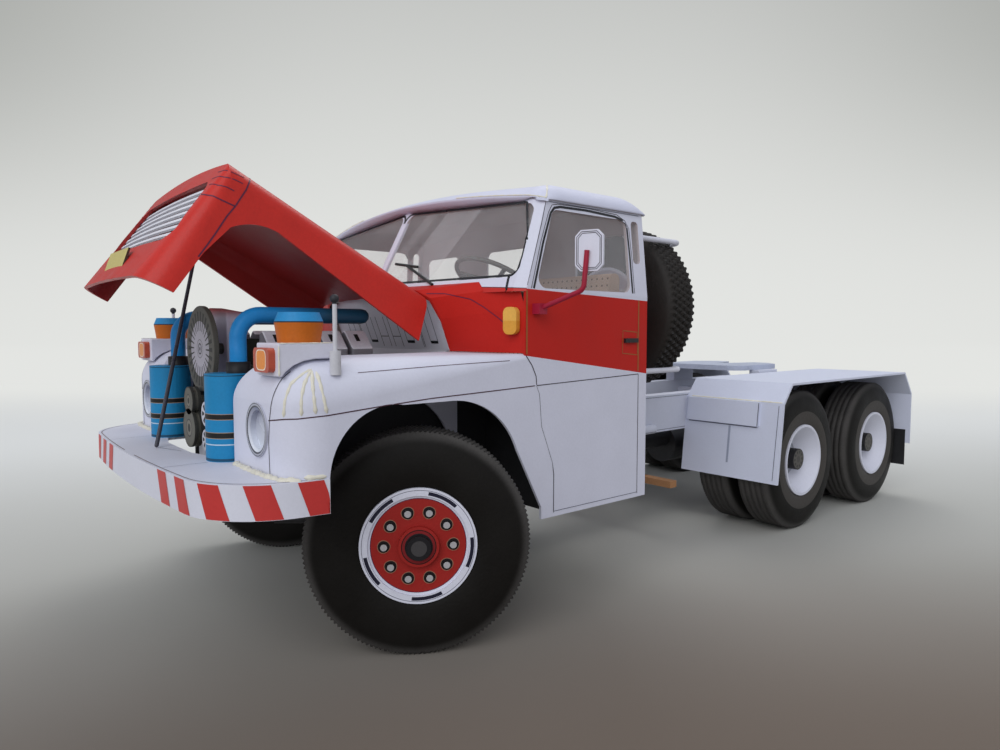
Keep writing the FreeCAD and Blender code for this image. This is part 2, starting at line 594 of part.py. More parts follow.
def half_axles():
    axles = []
    inner = size.drive_radius + size.seat_gap
    for word, side in SIDES:
        fork_x = size.kingpin_x - size.lug_reach
        tube = cylinder("FrontHalfAxle" + word, size.axle_tube_radius, fork_x - inner,
                        (side * inner, size.front_axle_y, size.tyre_radius), ALONG_X * side)
        low = fork_x if side > 0 else -size.kingpin_x - size.lug_half_width
        span = size.lug_reach + size.lug_half_width
        fork = box("Fork" + word, span, size.lug_half_width * 2,
                   (size.knuckle_half + size.free_gap + size.lug_height) * 2,
                   (low, size.front_axle_y - size.lug_half_width,
                    size.tyre_radius - size.knuckle_half - size.free_gap - size.lug_height))
        mouth_low = size.kingpin_x - size.lug_reach / 2 if side > 0 else -size.kingpin_x - size.lug_reach
        mouth = box("ForkMouth" + word, size.lug_reach + size.lug_reach / 2, size.lug_reach * 2,
                    (size.knuckle_half + size.free_gap) * 2,
                    (mouth_low, size.front_axle_y - size.lug_reach,
                     size.tyre_radius - size.knuckle_half - size.free_gap))
        pin_hole = cylinder("PinHole" + word, size.kingpin_radius + size.fit_gap, size.tyre_radius * 2,
                            (side * size.kingpin_x, size.front_axle_y, 0))
        open_fork = cut("OpenFork" + word, cut("ForkCut" + word, fork, mouth), pin_hole)
        link = shaped("Link" + word, Part.makeCylinder(
            float(size.link_radius), float(size.link_run),
            Vector(side * float(size.link_spread), float(size.front_axle_y), float(size.tyre_radius)),
            Vector(-side * float(size.link_spread - size.backbone_radius), -float(size.link_run), 0)))
        axles.append(fused("FrontSwingAxle" + word, [tube, open_fork, link]))
        for number, station in (("one", size.rear_axle_one_y),
                                ("two", size.rear_axle_two_y)):
            hub_in = size.rear_rim_x - size.dual_pitch - size.rim_inner_width - size.free_gap
            casing = cylinder("RearHalfAxle" + number + word, size.axle_tube_radius, hub_in - inner,
                              (side * inner, station, size.tyre_radius), ALONG_X * side)
            end = (size.rear_rim_x + size.rear_hub_rise - size.dish_depth
                   - size.axle_cover - size.free_gap)
            spindle = cylinder("Spindle" + number + word, size.axle_radius, end - inner,
                               (side * inner, station, size.tyre_radius), ALONG_X * side)
            axles.append(fused("RearSwingAxle" + number + word, [casing, spindle]))
    keep(grouped("HalfAxles", axles), "half_axles")


def chassis_frame():
    rails = []
    for word, side in SIDES:
        body = new_body("Rail" + word)
        sketch = sketch_on(body, "RailOutline" + word, "YZ_Plane",
                           size.rail_x - size.rail_width if side > 0 else -size.rail_x)
        closed_outline(sketch, [
            (size.rail_front_y, size.rail_low_z), (size.rail_rear_y, size.rail_low_z),
            (size.rail_rear_y, size.rail_top_z), (size.rail_step_y, size.rail_top_z),
            (size.rail_step_y - size.rail_top_z + size.rail_front_top_z, size.rail_front_top_z),
            (size.rail_front_y, size.rail_front_top_z)])
        pad(body, "RailPad" + word, sketch, size.rail_width)
        rails.append(body)
    members = []
    depth = size.rail_top_z - size.rail_low_z - size.member_drop * 2
    stations = (size.rail_step_y, size.guard_front_top_y,
                size.rear_axle_one_y + size.rear_axle_pitch / 2,
                size.rail_rear_y - size.member_length)
    for number, station in enumerate(stations):
        members.append(box("Member%d" % number, size.rail_x * 2 - size.rail_width,
                           size.member_length, depth,
                           (size.rail_width / 2 - size.rail_x, station,
                            size.rail_low_z + size.member_drop)))
    pipe = cylinder("SidePipe", size.side_pipe_radius, size.side_pipe_length,
                    (size.rail_x + size.side_pipe_radius / 2,
                     size.side_pipe_rear_y - size.side_pipe_length,
                     size.rail_low_z + size.side_pipe_radius), ALONG_Y)
    saddles = []
    crowns = (size.backbone_z + size.gearbox_height / 2, size.backbone_z + size.backbone_radius)
    for number, (station, crown) in enumerate(zip(stations[::2], crowns)):
        saddles.append(box("Saddle%d" % number, size.backbone_radius * 2, size.member_length,
                           size.rail_low_z + size.member_drop - crown,
                           (-size.backbone_radius, station, crown)))
    keep(fused("ChassisFrame", rails + members + saddles + [pipe]), "chassis_frame")


def lower_crossbar():
    """A bar across, hung from the backbone tube by a short card hanger."""
    top = size.backbone_z - size.backbone_radius - size.seat_gap
    high = top - size.crossbar_drop
    bar = box("CrossbarStrip", size.crossbar_half * 2, size.crossbar_depth, size.crossbar_height,
              (-size.crossbar_half, size.crossbar_y, high - size.crossbar_height))
    hanger = box("CrossbarHanger", size.hanger_half * 2, size.crossbar_depth, size.crossbar_drop,
                 (-size.hanger_half, size.crossbar_y, high))
    keep(fused("LowerCrossbar", [bar, hanger]), "lower_crossbar")


# Bumper: a folded card channel, open below and behind, with the engine bay cut into its top
def bumper_outline(inset, height):
    """The front and sides of the bumper seen from above, drawn in by the inset."""
    side_x = float(size.bumper_half - inset)
    rear = float(size.bumper_rear_y + (size.overrun if inset else 0))
    nose = float(size.bumper_nose_y + inset)
    flat = float(size.bumper_flat_half)
    front_y = nose + float(size.bumper_bow)
    turn_x = float(size.bumper_side_x - inset)
    turn_y = float(size.bumper_side_y)
    crest_x = float(size.bumper_corner_x - inset * ARC_SHARE)
    crest_y = float(size.bumper_corner_y + inset * ARC_SHARE)
    up = float(height)
    edges = [
        Part.Arc(Vector(-flat, front_y, up), Vector(0, nose, up), Vector(flat, front_y, up)),
        Part.Arc(Vector(flat, front_y, up), Vector(crest_x, crest_y, up), Vector(turn_x, turn_y, up)),
        Part.LineSegment(Vector(turn_x, turn_y, up), Vector(side_x, rear, up)),
        Part.LineSegment(Vector(side_x, rear, up), Vector(-side_x, rear, up)),
        Part.LineSegment(Vector(-side_x, rear, up), Vector(-turn_x, turn_y, up)),
        Part.Arc(Vector(-turn_x, turn_y, up), Vector(-crest_x, crest_y, up), Vector(-flat, front_y, up))]
    return Part.Face(Part.Wire([edge.toShape() for edge in edges]))


def bumper():
    low = size.bumper_top_z - size.bumper_height
    whole = bumper_outline(Size(0, "0"), low).extrude(Vector(0, 0, float(size.bumper_height)))
    hollow = bumper_outline(size.card, low - size.overrun).extrude(
        Vector(0, 0, float(size.bumper_height + size.overrun - size.card)))
    bay = rounded_prism(
        [(-size.bay_half, size.bay_front_y + size.bay_corner, low),
         (-size.bay_half / 2, size.bay_front_y, low), (size.bay_half / 2, size.bay_front_y, low),
         (size.bay_half, size.bay_front_y + size.bay_corner, low),
         (size.bay_half, size.bumper_rear_y + size.overrun, low),
         (-size.bay_half, size.bumper_rear_y + size.overrun, low)],
        float(size.bay_corner) / 2, (0, 0, size.bumper_height + size.overrun))
    keep(shaped("Bumper", whole.cut([hollow, bay])), "bumper")


# Front fenders: card skins with a domed corner, open below and cut by the wheel arch
def fender_form(inset):
    """The solid inside the fender's skin, drawn in by the inset."""
    inner = float(size.fender_inner_x + inset)
    outer = float(size.body_half - inset)
    top = float(size.fender_top_z - inset)
    front = float(size.fender_front_y + inset)
    shoulder = float(size.fender_shoulder_z)
    low = float(size.sill_z) - (float(size.overrun) if inset else 0)
    rear = float(size.door_foot_y)
    axis_x = float(size.fender_corner_x)
    axis_y = float(size.fender_corner_y)
    flat = float(size.fender_flat_inner_x)
    rise = top - shoulder

    def section(y, round_share):
        inner_x = inner + (flat - inner) * round_share
        outer_x = outer - (outer - axis_x) * round_share
        spring = top - rise * round_share
        crest_z = spring + (top - spring) * ARC_SHARE
        inner_crest = Vector(inner + (inner_x - inner) * CORNER_SHARE, y, crest_z)
        outer_crest = Vector(outer_x + (outer - outer_x) * ARC_SHARE, y, crest_z)
        edges = [
            Part.LineSegment(Vector(inner, y, low), Vector(inner, y, spring)),
            Part.Arc(Vector(inner, y, spring), inner_crest, Vector(inner_x, y, top)),
            Part.LineSegment(Vector(inner_x, y, top), Vector(outer_x, y, top)),
            Part.Arc(Vector(outer_x, y, top), outer_crest, Vector(outer, y, spring)),
            Part.LineSegment(Vector(outer, y, spring), Vector(outer, y, low)),
            Part.LineSegment(Vector(outer, y, low), Vector(inner, y, low))]
        return Part.Wire([edge.toShape() for edge in edges])

    flat_share = 0.15
    door_y = float(size.door_line_y)
    barrel = Part.makeLoft([section(axis_y, 1.0), section(door_y, flat_share)], True, True)
    tail = Part.Face(section(door_y, flat_share)).extrude(Vector(0, rear - door_y, 0))
    stub = Part.Face(section(front, 1.0)).extrude(Vector(0, axis_y - front, 0))
    reach = front - axis_y
    crest = Vector(inner, axis_y + reach * ARC_SHARE, shoulder + rise * ARC_SHARE)
    face_edges = [
        Part.LineSegment(Vector(inner, axis_y, low), Vector(inner, front, low)),
        Part.LineSegment(Vector(inner, front, low), Vector(inner, front, shoulder)),
        Part.Arc(Vector(inner, front, shoulder), crest, Vector(inner, axis_y, top)),
        Part.LineSegment(Vector(inner, axis_y, top), Vector(inner, axis_y, low))]
    profile = Part.Face(Part.Wire([edge.toShape() for edge in face_edges]))
    brow = profile.extrude(Vector(axis_x - inner, 0, 0)).common(stub)
    radius = outer - axis_x
    quarter_edges = [
        Part.LineSegment(Vector(axis_x, axis_y, low), Vector(outer, axis_y, low)),
        Part.LineSegment(Vector(outer, axis_y, low), Vector(outer, axis_y, shoulder)),
        Part.Arc(Vector(outer, axis_y, shoulder),
                 Vector(axis_x + radius * ARC_SHARE, axis_y, shoulder + rise * ARC_SHARE),
                 Vector(axis_x, axis_y, top)),
        Part.LineSegment(Vector(axis_x, axis_y, top), Vector(axis_x, axis_y, low))]
    quarter = Part.Face(Part.Wire([edge.toShape() for edge in quarter_edges]))
    dome = quarter.revolve(Vector(axis_x, axis_y, 0), ALONG_Z, -90)
    return barrel.fuse([tail, brow, dome]).removeSplitter()


def arch_prism():
    """The space under the wheel arch, cut through the outer skin."""
    front = float(size.arch_front_y)
    rear = float(size.arch_rear_y)
    top = float(size.arch_top_z)
    foot = float(size.bumper_top_z)
    span = rear - front
    rise = top - foot
    x = float(size.body_half / 2)
    low = float(size.sill_z - size.overrun)
    near = float(size.bumper_nose_y)
    start = Vector(x, front, foot)
    crown_start_share, crown_end_share, turn_share = (0.3, 0.5, 0.86)
    near_shares, far_shares = ((0.085, 0.75), (0.73, 0.72))
    crown_start = Vector(x, front + span * crown_start_share, top)
    crown_end = Vector(x, front + span * crown_end_share, top)
    turn = Vector(x, front + span * turn_share, float(size.arch_turn_z))
    end = Vector(x, rear, float(size.arch_low_z))
    near_middle = Vector(x, front + span * near_shares[0], foot + rise * near_shares[1])
    far_middle = Vector(x, front + span * far_shares[0], foot + rise * far_shares[1])
    edges = [
        Part.Arc(start, near_middle, crown_start).toShape(),
        Part.LineSegment(crown_start, crown_end).toShape(),
        Part.Arc(crown_end, far_middle, turn).toShape(),
        Part.LineSegment(turn, end).toShape(),
        Part.LineSegment(end, Vector(x, rear, low)).toShape(),
        Part.LineSegment(Vector(x, rear, low), Vector(x, near, low)).toShape(),
        Part.LineSegment(Vector(x, near, low), Vector(x, near, foot)).toShape(),
        Part.LineSegment(Vector(x, near, foot), start).toShape()]
    return Part.Face(Part.Wire(edges)).extrude(Vector(float(size.body_half), 0, 0))


def door_line_points():
    """The line between fender and door, from the belt down to the sill."""
    return [(size.door_line_y, size.fender_top_z), (size.arch_rear_y - size.card, size.arch_top_z),
            (size.arch_rear_y, size.door_bend_high_z), (size.door_foot_y, size.door_bend_low_z),
            (size.door_foot_y, size.sill_z)]


def fenders():
    skin = fender_form(Size(0, "0")).cut(fender_form(size.card))
    below = Part.makeBox(*[float(item) for item in (
        size.body_half, size.fender_corner_y - size.bumper_nose_y, size.bumper_top_z)],
        Vector(float(size.fender_inner_x - size.card), float(size.bumper_nose_y), 0))
    inner_low = Part.makeBox(*[float(item) for item in (
        size.body_half / 2, size.cab_rear_y - size.bumper_nose_y, size.bumper_top_z)],
        Vector(float(size.fender_inner_x - size.card), float(size.bumper_nose_y), 0))
    line = door_line_points()
    behind = prism(
        [(size.body_half / 2, y, z) for y, z in line]
        + [(size.body_half / 2, size.cab_rear_y, size.sill_z),
           (size.body_half / 2, size.cab_rear_y, size.fender_top_z)],
        (size.body_half, 0, 0))
    under = prism(
        [(size.body_half / 2, y, z) for y, z in line]
        + [(size.body_half / 2, size.cab_rear_y, size.sill_z - size.overrun),
           (size.body_half / 2, size.cab_rear_y, size.fender_top_z + size.overrun),
           (size.body_half / 2, size.door_line_y, size.fender_top_z + size.overrun)],
        (size.body_half, 0, 0))
    lamp_hole = Part.makeCylinder(
        float(size.headlight_radius - size.bezel_width), float(size.overrun) * 2,
        Vector(float(size.headlight_x), float(size.fender_front_y - size.overrun),
               float(size.headlight_z)), ALONG_Y)
    inner_wall = Part.makeBox(*[float(item) for item in (
        size.fender_corner_x - size.fender_inner_x + size.overrun,
        size.cab_rear_y - size.pillar_foot_y, size.fender_top_z)],
        Vector(float(size.fender_inner_x - size.overrun), float(size.pillar_foot_y),
               float(size.sill_z - size.overrun)))
    piece = skin.cut([below, inner_low, arch_prism(), behind, under, lamp_hole, inner_wall])
    keep(shaped("Fenders", pair(piece)), "front_fenders")


def wheel_housings():
    """The dark walls behind the arches: one along the engine and one before the cab."""
    x = float(size.housing_x)
    front = float(size.bumper_rear_y)
    rear = float(size.housing_rear_y)
    top = float(size.housing_top_z)
    low = float(size.rail_low_z)
    card = float(size.card)
    side = Part.makeBox(card, rear - front, top - low, Vector(x, front, low))
    width = float(size.body_half - size.card - size.seat_gap) - x
    back = Part.makeBox(width, card, top - float(size.sill_z), Vector(x, rear, float(size.sill_z)))
    keep(shaped("WheelHousings", pair(side.fuse(back))), "wheel_housings")


def headlights():
    """A chromed bezel with a shallow bowl and lens, seated in the fender's front."""
    body_list = []
    for word, side in SIDES:
        hole = size.headlight_radius - size.bezel_width - size.fit_gap
        body = turned("Headlight" + word, [
            (-size.bezel_rise, size.headlight_radius), (0, size.headlight_radius), (0, hole),
            (size.headlight_depth, hole), (size.headlight_depth, 0),
            (size.card, 0), (size.card + size.bezel_rise, hole - size.bezel_width),
            (0, hole - size.bezel_width), (-size.bezel_rise, hole)])
        body.Placement = Placement(ORIGIN, Rotation(ALONG_Z, 90))
        place(body, (side * size.headlight_x, size.fender_front_y, size.headlight_z))
        body_list.append(body)
    keep(grouped("Headlights", body_list), "headlights")


def lamp_boxes():
    """Card boxes on the fenders, hollowed out below by a curve that clears the dome."""
    front = float(size.lamp_box_front_y)
    rear = float(size.lamp_box_rear_y)
    top = float(size.lamp_box_top_z)
    low = float(size.lamp_box_top_z - size.lamp_box_height)
    seat = float(size.fender_top_z + size.seat_gap)
    x = float(size.lamp_box_inner_x)
    bend = float(size.fender_corner_y - size.fender_front_y)
    lip_share, middle_share, seat_share, middle_rise_share = (0.2, 0.62, 1.2, 0.66)
    lip = Vector(x, front + bend * lip_share, low)
    middle = Vector(x, front + bend * middle_share, low + (seat - low) * middle_rise_share)
    landing = Vector(x, front + bend * seat_share, seat)
    edges = [
        Part.LineSegment(Vector(x, front, low), Vector(x, front, top)),
        Part.LineSegment(Vector(x, front, top), Vector(x, rear, top)),
        Part.LineSegment(Vector(x, rear, top), Vector(x, rear, seat)),
        Part.LineSegment(Vector(x, rear, seat), landing), Part.Arc(landing, middle, lip),
        Part.LineSegment(lip, Vector(x, front, low))]
    face = Part.Face(Part.Wire([edge.toShape() for edge in edges]))
    piece = face.extrude(Vector(float(size.lamp_box_width), 0, 0)).cut(made_shape("front_fenders"))
    keep(shaped("LampBoxes", pair(piece)), "lamp_boxes")


def amber_lamps():
    """Turn lamps on the lamp boxes and side lamps on the cowl."""
    pieces = []
    middle = (size.lamp_box_inner_x + size.lamp_box_outer_x) / 2
    high = size.lamp_box_top_z - size.lamp_box_height / 2
    for word, side in SIDES:
        body = new_body("TurnLamp" + word)
        sketch = sketch_on(body, "TurnLampOutline" + word, "XZ_Plane", -size.lamp_box_front_y)
        left = side * middle - size.lamp_width / 2
        low = high - size.lamp_height / 2
        closed_outline(sketch, [(left, low), (left + size.lamp_width, low),
                                (left + size.lamp_width, low + size.lamp_height),
                                (left, low + size.lamp_height)])
        pad(body, "TurnLampPad" + word, sketch, size.lamp_depth)
        rounded_edges(body, "TurnLampRound" + word, size.lamp_round,
                      lambda middle_point, along: abs(along.y) > 0.9)
        pieces.append(body)
        lamp = new_body("SideLamp" + word)
        sketch = sketch_on(lamp, "SideLampOutline" + word, "XZ_Plane")
        reach = size.side_lamp_width / 2
        foot = -size.side_lamp_height / 2
        closed_outline(sketch, [(-reach, foot), (reach, foot), (reach, -foot), (-reach, -foot)])
        pad(lamp, "SideLampPad" + word, sketch, size.side_lamp_depth)
        rounded_edges(lamp, "SideLampRound" + word, size.side_lamp_round,
                      lambda middle_point, along: abs(along.y) > 0.9)
        spot, turn = cowl_flank_spot(float(size.side_lamp_share), float(size.side_lamp_z))
        away = Rotation(ALONG_Z, side * turn)
        clear = away.multVec(ALONG_Y * -float(size.seat_gap))
        lamp.Placement = Placement(Vector(side * spot.x, spot.y, spot.z) + clear, away)
        pieces.append(lamp)
    keep(grouped("AmberLamps", pieces), "amber_lamps")


def cowl_flank_spot(share, z):
    """A point on the cowl's straight flank, a share of the way to the door, and the turn there."""
    low = float(size.fender_top_z + size.seat_gap)
    lean = float(size.cowl_front_top_y - size.cowl_front_low_y) / (float(size.cowl_top_z) - low)
    front_y = float(size.cowl_front_low_y) + lean * (z - low)
    run_x = float(size.body_half - size.cowl_half)
    run_y = float(size.pillar_foot_y) - front_y
    spot = Vector(float(size.cowl_half) + run_x * share, front_y + run_y * share, z)
    return spot, math.degrees(math.atan2(run_y, run_x))


def filter_bowls():
    """Tapered bowls with flat cone lids on the lamp boxes."""
    pieces = []
    for word, side in SIDES:
        body = turned("FilterBowl" + word, [
            (0, 0), (0, size.bowl_foot_radius), (size.bowl_height, size.bowl_radius),
            (size.bowl_height + size.bowl_cap_height, size.bowl_cap_radius),
            (size.bowl_height + size.bowl_cap_height, 0)])
        body.Placement = Placement(ORIGIN, Rotation(ALONG_X, ALONG_Z))
        place(body, (side * size.bowl_x, size.bowl_y, size.lamp_box_top_z))
        pieces.append(body)
    keep(grouped("FilterBowls", pieces), "filter_bowls")


def marker_poles():
    pieces = []
    for word, side in SIDES:
        foot = cylinder("MarkerFoot" + word, size.marker_foot_radius, size.marker_foot_height,
                        (side * size.marker_x, size.marker_y, size.marker_foot_z))
        rod = cylinder("MarkerRod" + word, size.marker_rod_radius, size.marker_top_z - size.marker_foot_z,
                       (side * size.marker_x, size.marker_y, size.marker_foot_z))
        ball = document.addObject("Part::Sphere", "MarkerBall" + word)
        bind(ball, Radius=size.marker_ball_radius)
        place(ball, (side * size.marker_x, size.marker_y, size.marker_top_z))
        pieces.append(fused("MarkerPole" + word, [foot, rod, ball]))
    fenders_shape = made_shape("front_fenders")
    standing = [largest(piece.Shape.cut(fenders_shape)) for piece in pieces]
    keep(shaped("MarkerPoles", Part.makeCompound(standing)), "marker_poles")


# Cab: folded card walls with a raked two-pane screen under a crowned roof
def crown_height(x, rise=0.0):
    """The height of the eaves across the cab, highest in the middle."""
    share = (x / float(size.eave_half)) ** 2
    return float(size.eave_z) + float(size.crown_rise) * (1 - share) + rise


def greenhouse_wire(inset, z):
    """The plan of the cab at a height above the belt, drawn in by the inset."""
    share = (z - float(size.belt_z)) / float(size.eave_z - size.belt_z)

    def between(low, high):
        return float(low) + (float(high) - float(low)) * share

    turn_share = 0.6
    skew = inset * turn_share
    half = between(size.body_half, size.eave_half) - inset
    side_y = between(size.pillar_foot_y, size.pillar_head_y)
    corner_x = between(size.body_half, size.eave_half) - float(size.screen_corner_inset) - skew
    corner_y = between(size.screen_foot_corner_y, size.screen_head_corner_y) + inset
    middle_y = between(size.screen_foot_middle_y, size.screen_head_middle_y) + inset
    rear = float(size.cab_rear_y) - inset
    return wire([(half, rear, z), (half, side_y + skew, z), (corner_x, corner_y, z),
                 (0, middle_y, z), (-corner_x, corner_y, z), (-half, side_y + skew, z),
                 (-half, rear, z)])


def greenhouse(inset, low, high):
    return Part.makeLoft([greenhouse_wire(inset, low), greenhouse_wire(inset, high)], True, True)


def under_crown(drop):
    """Everything below the crowned eaves, as far forward and back as the cab goes."""
    half = float(size.bumper_half + size.overrun)
    front = float(size.bumper_nose_y)
    low = float(size.sill_z - size.overrun)
    side = crown_height(half) - drop
    edges = [
        Part.Arc(Vector(-half, front, side), Vector(0, front, crown_height(0) - drop),
                 Vector(half, front, side)),
        Part.LineSegment(Vector(half, front, side), Vector(half, front, low)),
        Part.LineSegment(Vector(half, front, low), Vector(-half, front, low)),
        Part.LineSegment(Vector(-half, front, low), Vector(-half, front, side))]
    face = Part.Face(Part.Wire([edge.toShape() for edge in edges]))
    return face.extrude(Vector(0, float(size.cab_rear_y) - front + float(size.overrun) * 2, 0))


def screen_holes(grow):
    """The two panes of the screen, as prisms run through the cab's front."""
    low = float(size.screen_low_z) - grow
    high = float(size.screen_high_z) + grow
    inner = float(size.pillar_half) - grow
    outer_low = float(size.screen_outer_low_x) + grow
    outer_high = float(size.screen_outer_high_x) + grow
    rise = float(size.screen_high_rise)
    y = float(size.bumper_nose_y)
    run = float(size.seat_front_y) - y
    pane = rounded_prism([(inner, y, low), (outer_low, y, low), (outer_high, y, high),
                          (inner, y, high + rise)], float(size.window_round), (0, run, 0))
    return [pane, mirrored(pane)]


def door_window_holes(grow):
    """The door windows and the small windows in the rear corners."""
    x = float(size.eave_half) / 2
    low = float(size.door_window_low_z) - grow
    high = float(size.door_window_high_z) + grow
    front_low = float(size.door_window_front_low_y) - grow
    front_high = float(size.door_window_front_high_y) - grow
    rear = float(size.door_window_rear_y) + grow
    run = (float(size.body_half), 0, 0)
    door = rounded_prism([(x, front_low, low), (x, rear, low), (x, rear, high), (x, front_high, high)],
                         float(size.window_round), run)
    quarter_front = float(size.quarter_front_y) - grow
    quarter_rear = float(size.quarter_rear_y) + grow
    quarter_low = float(size.quarter_low_z) - grow
    quarter = rounded_prism([(x, quarter_front, quarter_low), (x, quarter_rear, quarter_low),
                             (x, quarter_rear, high), (x, quarter_front, high)],
                            float(size.window_round) / 2, run)
    return [door, mirrored(door), quarter, mirrored(quarter)]


def rear_window_holes(grow):
    """Three windows in the cab's rear wall."""
    y = float(size.seat_front_y + size.seat_depth)
    low = float(size.rear_window_low_z) - grow
    high = float(size.rear_window_high_z) + grow
    half = float(size.rear_window_half) + grow
    inner = float(size.rear_window_half + size.rear_post) - grow
    outer = float(size.rear_outer_half) + grow
    run = (0, float(size.overrun) * 3, 0)
    holes = []
    for first, last in ((-half, half), (inner, outer), (-outer, -inner)):
        holes.append(rounded_prism([(first, y, low), (last, y, low), (last, y, high), (first, y, high)],
                                   float(size.window_round), run))
    return holes


def pillar_wedge():
    """Everything behind the line of the front pillars, which parts the sides from the front."""
    x = float(size.body_half + size.overrun)
    foot = float(size.pillar_foot_y)
    head = float(size.pillar_head_y)
    belt = float(size.belt_z)
    slope = (head - foot) / float(size.eave_z - size.belt_z)
    rise = float(size.roof_rise + size.eave_z - size.belt_z)
    rear = float(size.cab_rear_y + size.overrun)
    return prism([(-x, foot, belt), (-x, foot + slope * rise, belt + rise), (-x, rear, belt + rise),
                  (-x, rear, belt)], (2 * x, 0, 0))


def cab_walls():
    wall = float(size.cab_wall)
    belt = float(size.belt_z)
    high = float(size.eave_z + size.roof_rise)
    rear = float(size.cab_rear_y)
    skin = greenhouse(0.0, belt, high).cut(greenhouse(wall, belt, high)).common(under_crown(0.0))
    skin = skin.cut(screen_holes(0.0) + door_window_holes(0.0) + rear_window_holes(0.0))
    wedge = pillar_wedge()
    front = skin.cut(wedge)
    x = float(size.body_half)
    keep(shaped("CabFront", front), "cab_front_frame")
    back_slab = Part.makeBox(2 * x, wall, high, Vector(-x, rear - wall, 0))
    upper_back = skin.common(back_slab)
    sill = float(size.sill_z)
    lower_back = Part.makeBox(2 * x, wall, belt - sill, Vector(-x, rear - wall, sill))
    notch = Part.makeBox(2 * float(size.notch_half), wall * 3, float(size.rail_top_z + size.free_gap),
                         Vector(-float(size.notch_half), rear - 2 * wall, 0))
    keep(shaped("CabRear", lower_back.cut(notch).fuse(upper_back).removeSplitter()), "cab_rear_wall")
    upper_sides = skin.common(wedge).cut(back_slab)
    side_x = x - wall
    line = door_line_points()
    lower = prism([(side_x, y, z) for y, z in line]
                  + [(side_x, rear - wall, sill), (side_x, rear - wall, belt),
                     (side_x, size.pillar_foot_y, belt)], (wall, 0, 0))
    lower = lower.cut(arch_prism())
    nose = float(size.bumper_nose_y)
    left = upper_sides.common(Part.makeBox(x, rear - nose, high, Vector(0, nose, 0)))
    keep(shaped("CabSides", pair(lower.fuse(left).removeSplitter())), "cab_sides")


def cab_windows():
    """Clear film set in the middle of the walls, one piece behind each opening."""
    belt = float(size.belt_z)
    high = float(size.eave_z + size.roof_rise)
    outer = float(size.cab_wall - size.glass) / 2
    film = greenhouse(outer, belt, high).cut(greenhouse(outer + float(size.glass), belt, high))
    gap = -float(size.fit_gap)
    panes = []
    for hole in screen_holes(gap) + door_window_holes(gap) + rear_window_holes(gap):
        for solid in film.common(hole).Solids:
            panes.append(solid)
    keep(shaped("CabWindows", Part.makeCompound(panes)), "cab_windows")


def joined_arcs(x_way, steps):
    """A closed face from (across, up) steps; a step with a crest before it is an arc."""
    def at(spot):
        return Vector(0, spot[0], spot[1]) if x_way else Vector(spot[0], 0, spot[1])

    edges = []
    before = steps[-1][-1]
    for step in steps:
        if len(step) == 2:
            edges.append(Part.Arc(at(before), at(step[0]), at(step[1])).toShape())
        else:
            edges.append(Part.LineSegment(at(before), at(step[0])).toShape())
        before = step[-1]
    return Part.Face(Part.Wire(edges))


def roof_form(inset):
    """The roof as far as its plan, its crowned cross-section and its side profile agree."""
    half = float(size.eave_half + size.roof_overhang) - inset
    eave = float(size.eave_z)
    low = eave - float(size.overrun) - inset
    shoulder = float(size.eave_z + size.roof_shoulder) - inset
    top = float(size.eave_z + size.roof_rise) - inset
    edge = float(size.roof_edge)
    front = float(size.screen_head_middle_y - size.roof_overhang) + inset
    corner_y = float(size.screen_head_corner_y - size.roof_overhang) + inset
    rear = float(size.cab_rear_y + size.roof_overhang) - inset
    height = top - low + float(size.overrun)
    plan = prism([(half, rear, low), (half, corner_y + edge / 2, low), (half - edge / 2, corner_y, low),
                  (0, front, low), (edge / 2 - half, corner_y, low), (-half, corner_y + edge / 2, low),
                  (-half, rear, low)], (0, 0, height))
    rise = shoulder - eave
    across = joined_arcs(False, [
        ((half, low),), ((half, eave),),
        ((half - edge * CORNER_SHARE, eave + rise * ARC_SHARE), (half - edge, shoulder)),
        ((0, top), (edge - half, shoulder)),
        ((edge * CORNER_SHARE - half, eave + rise * ARC_SHARE), (-half, eave)), ((-half, low),)])
    across.translate(Vector(0, front - edge, 0))
    brow = float(size.eave_z + size.crown_rise + size.card) - inset
    crest = top + float(size.card) / 2
    run = float(size.roof_brow)
    brow_share = 0.42
    tail = float(size.roof_tail)
    profile = joined_arcs(True, [
        ((front, low),), ((front, brow),),
        ((front + run * brow_share, brow + (crest - brow) * ARC_SHARE), (front + run, crest)),
        ((rear - tail, crest),),
        ((rear - tail * CORNER_SHARE, eave + (crest - eave) * ARC_SHARE), (rear, eave)), ((rear, low),)])
    profile.translate(Vector(-half - edge, 0, 0))
    crowned = plan.common(across.extrude(Vector(0, rear - front + edge * 2, 0)))
    return crowned.common(profile.extrude(Vector(2 * (half + edge), 0, 0)))


def cab_roof():
    skin = roof_form(0.0).cut(roof_form(float(size.card)))
    keep(shaped("CabRoof", skin.cut(under_crown(-float(size.fit_gap)))), "cab_roof")


def cab_floor():
    wall = size.cab_wall + size.seat_gap
    floor = box("CabFloorPlate", (size.body_half - wall) * 2,
                size.cab_rear_y - size.housing_rear_y - size.card - wall - size.seat_gap, size.card,
                (wall - size.body_half, size.housing_rear_y + size.card + size.seat_gap, size.floor_z))
    keep(floor, "cab_floor")


def cowl_outline(inset, half, low, top, corner, y_low, y_top):
    """One end of the cowl: straight sides, rounded shoulders and a crowned top."""
    slope = (y_top - y_low) / (top - low)
    half = half - inset
    top = top - inset
    crown = float(size.bonnet_crown)

    def at(x, z):
        return (x, y_low + slope * (z - low), z)

    bend = corner * CORNER_SHARE
    return wire([at(half, low), at(half, top - crown - corner),
                 at(half - bend, top - crown - bend), at(half - corner, top - crown),
                 at(0, top), at(corner - half, top - crown), at(bend - half, top - crown - bend),
                 at(-half, top - crown - corner), at(-half, low)])


